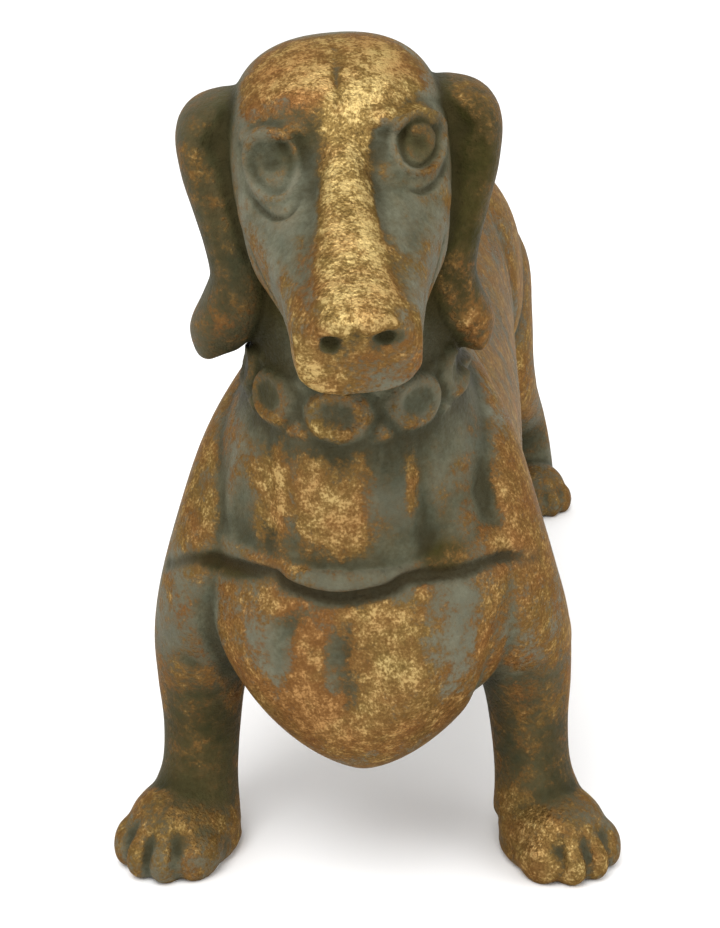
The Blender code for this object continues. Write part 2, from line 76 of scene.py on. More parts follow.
def smooth_rows(rows, per_span):
    """Catmull-Rom through rows of numbers, with per_span steps from each row to the next."""
    rows = np.asarray(rows, float)
    padded = np.vstack([2 * rows[0] - rows[1], rows, 2 * rows[-1] - rows[-2]])
    made = []
    for a, b, c, d in zip(padded, padded[1:], padded[2:], padded[3:]):
        for t in np.arange(per_span) / per_span:
            bend = (2 * a - 5 * b + 4 * c - d) * t**2 + (3 * b - a - 3 * c + d) * t**3
            made.append(0.5 * (2 * b + (c - a) * t + bend))
    made.append(rows[-1])
    return np.array(made)


def new_object(name, points, faces, place=None):
    """A mesh object of points in figure units, moved by place, which is in figure units too."""
    mesh = bpy.data.meshes.new(name)
    mesh.from_pydata([tuple(p) for p in points], [], faces)
    mesh.transform(Matrix.Scale(UNIT, 4) @ (place or Matrix.Identity(4)))
    obj = bpy.data.objects.new(name, mesh)
    bpy.context.scene.collection.objects.link(obj)
    return obj


def loft(name, sections, across, place=None):
    """A closed skin through sections (x, y, z, half width, fore, aft, squareness fore, squareness aft).

    Each section stands square to the line through their centres. Its width runs along across, fore runs
    along the line's direction crossed with that, and squareness is 1 for an ellipse and 0 for a diamond.
    """
    rows = smooth_rows(sections, RINGS_PER_SECTION)
    centres = rows[:, :3]
    along = np.gradient(centres, axis=0)
    along /= np.linalg.norm(along, axis=1)[:, None]
    angles = np.arange(RING_SIDES) * 2 * math.pi / RING_SIDES
    points = []
    for centre, direction, row in zip(centres, along, rows):
        wide = np.array(across, float) - direction * (direction @ across)
        wide /= np.linalg.norm(wide)
        fore = np.cross(direction, wide)
        half, front, back, square_front, square_back = np.maximum(row[3:], 0.05)
        for angle in angles:
            c, s = math.cos(angle), math.sin(angle)
            power = 2 - (square_front if s > 0 else square_back)
            reach = front if s > 0 else back
            points.append(
                centre
                + wide * half * math.copysign(abs(c) ** power, c)
                + fore * reach * math.copysign(abs(s) ** power, s)
            )
    count = len(rows)
    faces = []
    for ring in range(count - 1):
        for k in range(RING_SIDES):
            a, b = ring * RING_SIDES + k, ring * RING_SIDES + (k + 1) % RING_SIDES
            faces.append((a, b, b + RING_SIDES, a + RING_SIDES))
    faces.append(tuple(reversed(range(RING_SIDES))))
    faces.append(tuple(range((count - 1) * RING_SIDES, count * RING_SIDES)))
    return new_object(name, points, faces, place)


def trunk():
    """Deep keeled chest, long level back, tucked loin and rounded rump."""
    return [
        loft(
            "trunk",
            [
                # x, y, z, half width, drop, rise, squareness below, squareness above
                (1, -24.5, 50, 9, 10, 8, 1, 1),
                (1.2, -22, 50, 17, 19, 14, 0.9, 1),
                (1.3, -14, 50.5, 24.5, 28, 26, 0.72, 1),
                (1.4, -4, 52, 28.5, 33.4, 34, 0.58, 1),
                (1.2, 10, 53, 29, 36, 38, 0.58, 1),
                (0.6, 28, 55, 28.8, 36, 38, 0.72, 1),
                (0, 50, 56, 28.5, 34.5, 37.5, 0.85, 1.05),
                (0, 82, 57, 27.6, 32, 37.5, 0.95, 1.05),
                (0, 112, 60, 26, 29, 37, 1, 1.1),
                (0, 136, 63, 25, 26.5, 36.5, 1, 1.12),
                (0, 157, 66, 26.8, 26, 35.5, 1, 1.15),
                (0, 173, 66, 26, 25, 33, 1, 1.12),
                (0, 187, 66, 22, 22, 26.5, 1, 1),
                (0, 197, 66, 15, 16, 18, 1, 1),
                (0, 202, 65, 7, 9, 9, 1, 1),
            ],
            (1, 0, 0),
        )
    ]


forms = trunk()

# Neck
# A thick neck that falls straight from the throat into the breast. It was modelled with the trunk and is
# part of the same casting.


def neck():
    """Thick neck that falls straight from the throat into the breast."""
    return [
        loft(
            "neck",
            [
                # x, y, z, half width, aft, fore, squareness aft, squareness fore
                (0.3, 10, 58, 16, 20, 22, 1, 1),
                (0.3, 8.6, 63, 24.5, 26, 29.8, 1, 1),
                (0.3, 8, 67, 28, 29, 32.4, 1, 1),
                (0.2, 7, 73, 27.4, 33, 31.5, 1, 1),
                (0.3, 4, 82, 23.6, 30, 27.8, 1, 1),
                (0.8, 2, 93, 18.4, 25, 23.2, 1, 1),
                (0.4, 1, 105, 16.2, 20, 19, 1, 1),
                (-0.6, 1, 118, 15, 17, 15, 1, 1),
                (-1, 1, 130, 13, 13, 12, 1, 1),
            ],
            (1, 0, 0),
        )
    ]


forms += neck()

# Head
# A flat-topped skull with soft brows, a straight bridge and a square-lipped muzzle, cast with the neck. The
# head looks down and a little to its left, so it has frames of its own for its forms and its carved lines.

# The stop, where the forehead meets the bridge. The head turns about it.
STOP = Vector((1.4, -21.5, 134.5))
HEAD_PITCH = math.radians(25)
HEAD_YAW = math.radians(7)
HEAD_ROLL = math.radians(-3.5)
EAR_SHIFT = Vector((0.2, 0, 0))


def bulge(name, centre, radii, place=None, turn=(0, 0, 0)):
    """An ellipsoid of flesh, bone or toe, turned by Euler angles in degrees."""
    bpy.ops.mesh.primitive_uv_sphere_add(segments=24, ring_count=12, radius=1)
    obj = bpy.context.object
    obj.name = name
    turned = Matrix.Rotation(math.radians(turn[2]), 4, "Z") @ Matrix.Rotation(math.radians(turn[1]), 4, "Y")
    turned = turned @ Matrix.Rotation(math.radians(turn[0]), 4, "X")
    local = Matrix.Translation(centre) @ turned @ Matrix.Diagonal((*radii, 1))
    obj.data.transform(Matrix.Scale(UNIT, 4) @ (place or Matrix.Identity(4)) @ local)
    return obj


def face_place():
    """The face's frame: it turns and tilts with the head, and looks straight ahead."""
    return Matrix.Translation(STOP) @ Matrix.Rotation(HEAD_YAW, 4, "Z") @ Matrix.Rotation(HEAD_ROLL, 4, "Y")


def head_place():
    """The head's own frame: +X to its left, -Y along the muzzle, +Z out of the forehead."""
    return face_place() @ Matrix.Rotation(HEAD_PITCH, 4, "X")


def head(place):
    """Flat-topped skull, straight bridge, square-lipped muzzle, brows and cheekbones."""
    made = [
        loft(
            "skull",
            [
                # x, y, z, half width, drop, rise, squareness below, squareness above
                (0, 37, -9, 7, 6, 5, 1, 1),
                (0, 33, -9, 12.5, 12, 9.5, 1, 1.1),
                (0, 26, -9, 16.2, 16, 14, 1, 1.2),
                (0, 17, -9, 17.6, 17, 16.5, 1, 1.28),
                (0, 8, -9, 17.6, 16, 16, 1, 1.28),
                (0, 2, -9, 17, 15, 13.4, 1.1, 1.25),
                (0, -3, -9, 15.2, 13, 10, 1.1, 1.2),
                (0, -9, -10, 12, 10, 7.5, 1, 1.1),
                (0, -16, -11, 9, 8, 6, 1, 1),
            ],
            (-1, 0, 0),
            place,
        ),
        loft(
            "muzzle",
            [
                (0, 8, -9, 17, 16, 9, 1.3, 1),
                (0, 0, -9.2, 16.6, 15.5, 8.8, 1.4, 1),
                (0, -6, -9.4, 15.6, 13.5, 8.6, 1.5, 1),
                (0, -12, -9.6, 13.8, 11.2, 8.3, 1.5, 1.05),
                (0, -20, -9.8, 11.4, 9.4, 8.0, 1.45, 1.12),
                (-0.1, -28, -9.9, 10, 8.3, 7.6, 1.45, 1.2),
                (-0.2, -33, -9.8, 9.6, 7.8, 7.4, 1.45, 1.25),
                (-0.2, -36, -9.8, 8.9, 7.3, 6.9, 1.4, 1.25),
                (-0.2, -37.4, -9.8, 7.6, 6.6, 5.8, 1.3, 1.2),
            ],
            (-1, 0, 0),
            place,
        ),
        loft(
            "bridge",
            [
                (0, 9, -4, 6.2, 5, 9.4, 1, 1),
                (0.2, 3, -4, 4.9, 5, 8.0, 1, 1.05),
                (0.3, -3, -4.2, 4.4, 5, 6.6, 1, 1.2),
                (0.2, -10, -4.6, 4.9, 5, 5.5, 1, 1.3),
                (0.1, -18, -5.0, 5.7, 5, 4.8, 1, 1.35),
                (0, -26, -5.4, 6.5, 5, 4.2, 1, 1.35),
                (0, -31, -5.6, 6.9, 5, 4.2, 1, 1.3),
                (0, -35, -6.2, 6.6, 5.2, 4.4, 1.1, 1.25),
                (0, -36.4, -7, 5.6, 4.6, 3.6, 1.1, 1.2),
            ],
            (-1, 0, 0),
            place,
        ),
    ]
    for side, up in ((-1, 0), (1, 0.4)):
        lean = (-12, side * 14, side * 8)
        made.append(bulge("brow", (side * 9.6, 4.6, 2.3 + up), (6.4, 4.6, 2.0), place, lean))
        made.append(bulge("cheekbone", (side * 13.2, 1, -9), (3.8, 8, 6), place))
        made.append(bulge("eyeball", (side * 11.5, 2.0, up - 1.3), (3.7, 2.4, 3.9), place))
        made.append(bulge("jowl", (side * 11.6, -1, -15.5), (4.2, 9, 6), place))
    made.append(bulge("lip", (-6.2, -28, -13.9), (3.4, 8.2, 4.5), place))
    made.append(bulge("lip", (5.8, -25.5, -12.6), (3.8, 9.4, 4.3), place))
    return made


forms += head(head_place())

# Ears
# Two hanging leaves that roll out over their roots and lie against the cheeks, cast solid with the head.
# The left one is set a little higher.


def hanging_place():
    """The ears' frame: it turns with the head, and hangs straight."""
    return Matrix.Translation(STOP + EAR_SHIFT) @ Matrix.Rotation(HEAD_YAW, 4, "Z")


def ear(side, lift, flare, place):
    """Hanging ear leaf: it rolls out over its root, narrows against the jaw and flares at the tip."""
    return [
        loft(
            "ear",
            [
                # x, y, z, half length, outward, inward, squareness outward, squareness inward
                (side * 14.0, 21.5, 4.6 + lift, 6, 2.6, 5, 1, 1),
                (side * 18.6, 22, 3.9 + lift, 9, 3.4, 8, 1, 1.1),
                (side * 22.4, 22.5, 1.2 + lift, 11.5, 4.1, 9, 1.1, 1.2),
                (side * 22.5, 23, -4.6 + lift / 2, 13.5, 3.8, 8, 1.2, 1.2),
                (side * 21.2, 23, -11, 14, 3.4, 8, 1.2, 1.2),
                (side * 19.8, 22.5, -17.5, 13.5, 3.1, 8, 1.2, 1.2),
                (side * 19.2, 22, -23.5, 12.5, 3.0, 8, 1.2, 1.2),
                (side * (20 + flare / 2), 21.5, -28.5, 10.5, 3.6, 8, 1.2, 1.2),
                (side * (21.4 + flare), 21, -33, 8.5, 4.0, 6.4, 1.1, 1.1),
                (side * (22.2 + flare), 20.5, -36, 5.5, 2.6, 4.6, 1, 1),
                (side * (22.2 + flare), 20.5, -37.4, 3, 1, 1.4, 1, 1),
            ],
            (0, side, 0),
            place,
        ),
        bulge("ear root", (side * 18, 17.5, -4), (3.6, 7, 9), place),
    ]


for side, lift, flare in ((-1, 0, 0.9), (1, 1.1, 0.2)):
    forms += ear(side, lift, flare, hanging_place())

# Fore legs
# Shoulder, elbow, short straight forearm and a rounded paw turned outwards, on each side, cast with the
# trunk. The dog stands with its right leg a little wider and forward of the left one.

# How the fore legs stand: side, spread, how far back, and the paw's reach outwards, turn in degrees and size
FORE_STANCE = ((-1, 1.2, 0, 33.6, 20, 1.0), (1, 1.0, 1.8, 34.5, 30, 0.95))


def paw_place(side, x, y, turn_out, size):
    """A paw's frame: -Y along its toes, and its sole at the floor."""
    turned = Matrix.Rotation(side * math.radians(turn_out), 4, "Z")
    return Matrix.Translation((side * x, y, 0)) @ turned @ Matrix.Scale(size, 4)


def paw(place):
    """Rounded paw with four toes in a fan."""
    made = [
        bulge("paw", (0, -0.5, 5.4), (10.2, 12.4, 8.8), place),
        bulge("pad", (0, -1, 2.2), (10.4, 13, 4), place),
    ]
    for lateral, forward, width in ((7.4, -7.6, 3.0), (2.6, -10.3, 3.3)):
        for side in (-1, 1):
            fan = (16, 0, -side * lateral * 2.2)
            made.append(bulge("toe", (side * lateral, forward, 3.8), (width, 5.1, 4.5), place, fan))
    return made


def fore_leg(side, spread, back, reach, turn_out, size):
    """Shoulder blade, upper arm and short straight forearm, moved outwards by spread and back."""
    return [
        loft(
            "shoulder",
            [
                # x, y, z, half width, front, rear, squareness front, squareness rear
                (side * 12, 22, 88, 8, 12, 12, 1, 1),
                (side * 18, 14, 76, 9.5, 16, 15, 1, 1),
                (side * 22, 6, 64, 10.2, 17, 15, 1, 1),
                (side * (24.6 + spread), 3, 52, 10.2, 15, 14, 1, 1),
                (side * (27.2 + spread), 4 + back, 42, 9.6, 12, 12, 1, 1),
                (side * (28.7 + spread), 5 + back, 33, 8.2, 9.5, 9.6, 1, 1),
                (side * (29.2 + spread), 5 + back, 24, 7.2, 7.8, 7.8, 1, 1),
                (side * (29.9 + spread), 4 + back, 15, 7.1, 7.6, 7.4, 1, 1),
                (side * (31 + spread), 2.5 + back, 8, 8.6, 9, 8, 1, 1),
            ],
            (1, 0, 0),
        ),
        bulge("elbow", (side * (32.8 + spread), 7 + back, 40), (4.2, 5.5, 8.5)),
    ] + paw(paw_place(side, reach, back - 1, turn_out, size))


for stance in FORE_STANCE:
    forms += fore_leg(*stance)

# Hind legs
# Broad thigh, bent stifle, hock and a smaller paw, cast with the trunk and the same on both sides. The
# photograph shows only one hock and its paw.
HIND_PAW_REACH = 29.2
HIND_PAW_BACK = 184
HIND_PAW_TURN = 18
HIND_PAW_SIZE = 0.84


def hind_leg(side):
    """Broad thigh, bent stifle, hock and short upright metatarsus."""
    return [
        loft(
            "thigh",
            [
                # x, y, z, half width, front, rear, squareness front, squareness rear
                (side * 10, 178, 82, 9, 16, 15, 1, 1),
                (side * 15.7, 174, 70, 12, 20, 19, 1, 1),
                (side * 18.3, 170, 57, 10.8, 19.5, 18, 1, 1),
                (side * 20.1, 169, 45, 9.4, 14.5, 15, 1, 1),
                (side * 22, 175, 36, 8.2, 10, 11, 1, 1),
                (side * 24, 184, 29, 7, 7.5, 8.4, 1, 1),
                (side * 26, 192, 22, 6.2, 6.2, 7, 1, 1),
                (side * 27.5, 193.5, 15, 6, 6.2, 6.2, 1, 1),
                (side * 28, 191.5, 9, 6.4, 7, 6.2, 1, 1),
                (side * 28.3, 190, 4, 6.6, 7, 5.4, 1, 1),
            ],
            (1, 0, 0),
        )
    ] + paw(paw_place(side, HIND_PAW_REACH, HIND_PAW_BACK, HIND_PAW_TURN, HIND_PAW_SIZE))


for side in (-1, 1):
    forms += hind_leg(side)

# Tail
# A tapering tail that sweeps down and back from the rump and is cast with it. The photograph hides it, so
# it is a plain one.


def tail():
    """Tapering tail that sweeps down and back from the rump."""
    return [
        loft(
            "tail",
            [
                # x, y, z, half width, below, above, squareness below, squareness above
                (0, 187, 84, 8, 8, 8, 1, 1),
                (0, 198, 82, 7, 7, 7, 1, 1),
                (0, 210, 75, 5.8, 5.8, 5.8, 1, 1),
                (0.5, 220, 64, 4.8, 4.8, 4.8, 1, 1),
                (1, 228, 52, 4.0, 4.0, 4.0, 1, 1),
                (1.5, 235, 41, 3.3, 3.3, 3.3, 1, 1),
                (2, 241, 34, 2.6, 2.6, 2.6, 1, 1),
                (2, 245, 31, 1.6, 1.6, 1.6, 1, 1),
            ],
            (1, 0, 0),
        )
    ]


forms += tail()

# The cast skin
# All of the dog is one shell of metal, so the forms are fused and their joins softened as a finger softens
# clay. The face is meshed twice as finely as the rest, for the lines that are cut into it.
SKIN_STEP = 0.0006
SOFTENING_ROUNDS = 10
FACE_CENTRE = Vector((0, -14, -2))
FACE_REACH = (19, 30, 20)


def applied(obj):
    """The object with its modifiers worked into its mesh."""
    graph = bpy.context.evaluated_depsgraph_get()
    mesh = bpy.data.meshes.new_from_object(obj.evaluated_get(graph))
    obj.modifiers.clear()
    obj.data = mesh
    return obj


def fuse(objects, name, step, rounds):
    """Joins closed skins into one by remeshing them, and softens the joins."""
    joined = bmesh.new()
    for obj in objects:
        joined.from_mesh(obj.data)
    mesh = bpy.data.meshes.new(name)
    joined.to_mesh(mesh)
    joined.free()
    for obj in objects:
        bpy.data.objects.remove(obj, do_unlink=True)
    body = bpy.data.objects.new(name, mesh)
    bpy.context.scene.collection.objects.link(body)
    skin = body.modifiers.new("skin", "REMESH")
    skin.mode = "VOXEL"
    skin.voxel_size = step
    skin.use_smooth_shade = True
    soften = body.modifiers.new("soften", "SMOOTH")
    soften.factor = 0.5
    soften.iterations = rounds
    return applied(body)


def refined(body, place, centre, radii):
    """The body with its faces split in four inside an ellipsoid in a frame, for the finest lines."""
    inverse = place.inverted()
    mesh = bmesh.new()
    mesh.from_mesh(body.data)
    near = set()
    for vertex in mesh.verts:
        local = inverse @ (vertex.co / UNIT) - centre
        if sum((a / b) ** 2 for a, b in zip(local, radii)) < 1:
            near.add(vertex)
    edges = [edge for edge in mesh.edges if near.issuperset(edge.verts)]
    bmesh.ops.subdivide_edges(mesh, edges=edges, cuts=1, use_grid_fill=True)
    mesh.to_mesh(body.data)
    mesh.free()
    return body


def vertex_rows(body, kind):
    """The place (co) or the normal of each vertex, as rows of x, y and z."""
    rows = np.empty(len(body.data.vertices) * 3)
    body.data.vertices.foreach_get(kind, rows)
    return rows.reshape(-1, 3)


dog = fuse(forms, "dachshund_skin", SKIN_STEP, SOFTENING_ROUNDS)
dog = refined(dog, head_place(), FACE_CENTRE, FACE_REACH)
points = vertex_rows(dog, "co") / UNIT
normals = vertex_rows(dog, "normal")
skin_tree = BVHTree.FromPolygons(
    [vertex.co for vertex in dog.data.vertices],
    [tuple(polygon.vertices) for polygon in dog.data.polygons],
)
raised = np.zeros(len(points))

# Carving of the face
# Lids, brows, the sides of the bridge, nostrils and the mouth were cut and pressed into the wax with a tool.
# A line is (points, half width, height, whether it tapers), with a negative height where it is cut in.
LINE_STEPS = 6
# Lines are cast onto the skin from this far outside, and fade out at this many half widths from their middle
CAST_DISTANCE = 70
LINE_FADE = 2.5
# A step of a line that is longer than these two together, in half widths and in units, has jumped to
# another form
JUMP_WIDTHS = 4
JUMP_UNITS = 3
# How far along a line its tapered ends begin
TAPER_START = 0.02
AHEAD = Vector((0, 1, 0))


def drawn(tree, place, away, points):
    """A smooth line in figure units where points, drawn in a frame and cast away from it, meet the skin."""
    heading = (place.to_3x3() @ away).normalized()
    hits = []
    for a, b in smooth_rows(points, LINE_STEPS):
        flat = Vector((a, 0, b)) if away.x == 0 else Vector((0, a, b))
        start = place @ (flat - away * CAST_DISTANCE)
        hit = tree.ray_cast(start * UNIT, heading)[0]
        if hit is not None:
            hits.append(np.array(hit) / UNIT)
    return np.array(hits)


def line_relief(points, line, half_width, height, tapers):
    """How far each of the points is raised by a line of the given half width and height."""
    raised = np.zeros(len(points))
    if len(line) < 2:
        return raised
    reach = LINE_FADE * half_width
    near = np.all((points > line.min(axis=0) - reach) & (points < line.max(axis=0) + reach), axis=1)
    where = np.flatnonzero(near)
    if len(where) == 0:
        return raised
    chosen = points[where]
    distance = np.full(len(where), np.inf)
    progress = np.zeros(len(where))
    for k, (a, b) in enumerate(zip(line, line[1:])):
        leg = b - a
        if leg @ leg > (JUMP_WIDTHS * half_width) ** 2 + JUMP_UNITS**2:
            continue
        t = np.clip((chosen - a) @ leg / max(leg @ leg, 1e-9), 0, 1)
        gap = np.linalg.norm(chosen - a - t[:, None] * leg, axis=1)
        closer = gap < distance
        distance[closer] = gap[closer]
        progress[closer] = (k + t[closer]) / (len(line) - 1)
    strength = np.exp(-((distance / half_width) ** 2))
    if tapers:
        along = np.clip(progress, TAPER_START, 1 - TAPER_START)
        strength *= np.sqrt(np.clip(np.sin(math.pi * along), 0, 1))
    raised[where] = strength * height
    return raised


def arc(centre, radii, start, end, count=7):
    """Points of an elliptic arc in a drawing, with its angles in degrees from the drawing's +X."""
    return [
        (centre[0] + radii[0] * math.cos(math.radians(a)), centre[1] + radii[1] * math.sin(math.radians(a)))
        for a in np.linspace(start, end, count)
    ]


def mirrored(points, side):
    """Points of a drawing of the dog's left, put on the given side: 1 is its left and -1 its right."""
    return [(side * a, b) for a, b in points]


def face_lines():
    """Lines of the face, seen from straight ahead: (points, half width, height, tapers at its ends)."""
    lines = [([(0.4, 17), (0.4, 12), (0.4, 7), (0.4, 3)], 0.6, -0.3, True)]
    right_crease = arc((-10.7, -0.5), (5.2, 7.0), 215, 320)
    left_crease = arc((12.4, 0.6), (5.0, 6.8), 330, 240)
    right_eye = (-1, (-10.7, -0.5), 4.2, 4.8, right_crease)
    left_eye = (1, (12.4, 0.6), 4.3, 4.3, left_crease)
    for side, eye, wide, tall, crease in (right_eye, left_eye):
        lid = 0.75 + 0.15 * side
        lines += [
            (arc(eye, (wide, tall), 200, -20), 0.6, lid, True),
            (arc(eye, (wide - 0.2, tall), 190, 350), 0.6, lid, True),
            (arc(eye, (2.9, 3.3), 0, 360, 13), 0.5, -0.25 - 0.15 * side, False),
            ([(eye[0] - 0.3, eye[1]), (eye[0] + 0.3, eye[1])], 0.9, -0.3, False),
            (arc(eye, (5.5, 6.0), 165, 15), 0.9, -0.3, True),
            (crease, 0.55, -0.6, True),
            (mirrored([(5.4, -1.8), (5.6, 0.4), (6.0, 2.0)], side), 1.6, -0.5, True),
            (mirrored([(3.6, 8.2), (7.5, 9.2), (11.5, 8.6), (15.6, 5.6)], side), 1.8, 0.2, True),
            (mirrored([(4.6, 1), (4.6, -5), (5.4, -11), (6.8, -16)], side), 1.4, -0.1 - 0.1 * side, True),
            (mirrored([(8.8, -17), (8.9, -22), (8.6, -28.5)], side), 0.9, 0.4, True),
        ]
    return lines


def nose_lines():
    """Lines of the nose and lips, seen along the muzzle."""
    lines = [([(0, -2.8), (-0.2, -3.8), (0, -5.4)], 1.0, -0.7, True)]
    for side in (-1, 1):
        lines += [
            (mirrored([(3.0, -7.0), (4.1, -6.0), (5.2, -6.6)], side), 1.2, -1.5, True),
            (mirrored([(1.8, -3.0), (4.2, -2.8), (6.0, -4.6)], side), 0.7, 0.7, True),
        ]
    return lines


def mouth_lines():
    """The mouth's line, seen from the head's side: (along the muzzle, up)."""
    return [
        ([(-32, -13.8), (-27, -14.6), (-20, -14.4), (-12, -13.6), (-7, -11.4)], 0.7, -0.7, True),
        ([(-30, -3.6), (-20, -4.4), (-10, -5.6), (-3, -7.4)], 2.0, -0.4, True),
    ]


def pressed(spots, place, away, lines):
    """The relief at spots of lines that are drawn in one frame."""
    relief = np.zeros(len(spots))
    for drawing, half_width, height, tapers in lines:
        relief += line_relief(spots, drawn(skin_tree, place, away, drawing), half_width, height, tapers)
    return relief


raised += pressed(points, face_place(), AHEAD, face_lines())
raised += pressed(points, head_place(), AHEAD, nose_lines())
for side in (-1, 1):
    raised += pressed(points, head_place(), Vector((-side, 0, 0)), mouth_lines())

# Carving of the ears, breast, flanks and paws
# The ears are hollowed behind their rims, a fold crosses the breast below a bib of loose skin, shallow
# hollows part the legs from the body, and grooves part the toes. All of it was worked into the wax.
BODY = Matrix.Identity(4)


def ear_lines():
    """The ears' troughs behind their worn rims, seen from straight ahead."""
    trough = [(21.6, 0), (22.2, -5), (20.8, -14), (19.8, -23), (21.2, -31)]
    return [(mirrored(trough, side), 2.6, -1.1, True) for side in (-1, 1)]


def breast_lines():
    """Folds of the breast, seen from straight ahead."""
    crease = [
        (-33, 59),
        (-28, 62),
        (-16.3, 63.7),
        (-11.8, 64.2),
        (-9.2, 62.4),
        (-2, 61),
        (6.7, 62.2),
        (11, 64.2),
        (19, 63.6),
        (24.4, 64),
        (28, 63.2),
        (32, 61.5),
    ]
    return [
        (crease, 1.1, -1.5, True),
        ([(a, b + 3.4) for a, b in crease[2:9]], 2.6, 0.8, True),
        ([(-12.5, 89), (-12.8, 80), (-12.4, 70), (-12, 66)], 1.6, -0.6, True),
        ([(12.5, 89), (13.2, 80), (13.4, 70), (12.6, 66)], 2.0, -0.7, True),
        ([(-17, 86), (-19.5, 76), (-20, 68)], 2.2, 0.6, True),
        ([(-26, 78), (-27, 70), (-25, 65)], 2.6, -0.7, True),
        ([(22, 80), (23, 72), (21, 66)], 2.8, -0.9, True),
        ([(0.5, 57), (0.3, 50), (0, 40), (0, 32)], 2.2, -0.4, True),
        ([(-9, 56), (-10, 48), (-7, 40)], 4.2, 0.7, True),
        ([(9.5, 56), (10.5, 48), (7.5, 40)], 4.2, 0.7, True),
        ([(-27, 56), (-25, 46), (-22.5, 36), (-20.5, 30)], 2.2, -0.8, True),
        ([(26, 56), (24, 46), (21, 36), (18.5, 30)], 2.2, -0.8, True),
        ([(-31, 44), (-29, 41), (-27, 40)], 1.8, -0.6, True),
    ]


def flank_lines():
    """Folds of a flank, seen from its side: (along the body, up)."""
    return [
        ([(24, 84), (29, 72), (30, 60), (25, 48)], 3.0, -0.9, True),
        ([(142, 92), (140, 78), (143, 64), (151, 50), (159, 42)], 3.4, -1.2, True),
        ([(186, 60), (183, 46), (181, 36)], 2.4, -0.7, True),
    ]


def paw_lines():
    """Grooves between the toes, seen along the paw."""
    return [([(a * 0.7, 11.5), (a * 0.9, 8), (a, 4), (a, 1)], 0.8, -0.45, True) for a in (-5, 0, 5)]


raised += pressed(points, hanging_place(), AHEAD, ear_lines())
raised += pressed(points, BODY, AHEAD, breast_lines())
for side, _, back, reach, turn_out, size in FORE_STANCE:
    raised += pressed(points, paw_place(side, reach, back - 1, turn_out, size), AHEAD, paw_lines())
for side in (-1, 1):
    raised += pressed(points, BODY, Vector((-side, 0, 0)), flank_lines())

# Collar
# A band around the neck with a row of oval ring medallions. It was modelled on the neck and cast with the
# dog, and is not a strap of its own.
COLLAR_WIDTH = 0.0092
COLLAR_RELIEF = 0.0010
MEDALLION_LENGTH = 0.0106
MEDALLION_RIM = 0.0012
MEDALLION_COUNT = 10
COLLAR_CENTRE = Vector((0.8, 0.5, 96.2))
COLLAR_TILT = math.radians(12)
COLLAR_TURN = math.radians(-3)
NECK_OVAL = (20.6, 26.5)
# Over these distances the band rises from the neck at its edges, and ends where it meets an ear
BAND_BEVEL = 0.7
EAR_MARGIN = 1.5
# The ears' inner face, middle and half length, and how far down they reach, in the ears' frame
EAR_INNER_FACE = 17
EAR_MIDDLE = 20.5
EAR_HALF_LENGTH = 13
EAR_DROP = 41
# The band shows up to this share of the neck's oval and fades out over the next one. It also fades where
# the skin turns away from outwards: it is gone at this slope and whole at twice that.
NECK_SHARE = 1.03
NECK_FADE = 0.06
OUTWARD_SLOPE = 0.25
# A medallion stays this far inside of the band's edges. Its ring is this share of the rim in half width, its
# disc ends at a share of its oval, and the groove around it runs between two more.
MEDALLION_INSET = 0.5
RING_SOFTNESS = 0.75
DISC_END = 0.6
DISC_STEEPNESS = 16
GAP_START = 1.14
GAP_END = 1.3
GAP_SOFTNESS = 0.1
# Heights as shares of COLLAR_RELIEF: the band, a medallion's ring and disc on it, and the groove around it
BAND_HEIGHT = 0.75
RING_HEIGHT = 1.05
DISC_HEIGHT = 0.55
GAP_DEPTH = 0.4


def collar_place():
    """The collar's frame: +Z along the neck, -Y towards the throat."""
    tilt = Matrix.Rotation(COLLAR_TILT, 4, "X")
    return Matrix.Translation(COLLAR_CENTRE) @ tilt @ Matrix.Rotation(COLLAR_TURN, 4, "Z")


def seen_from(place, spots):
    """The spots' coordinates in a frame."""
    inverse = place.inverted()
    return spots @ np.array(inverse.to_3x3()).T + np.array(inverse.translation)


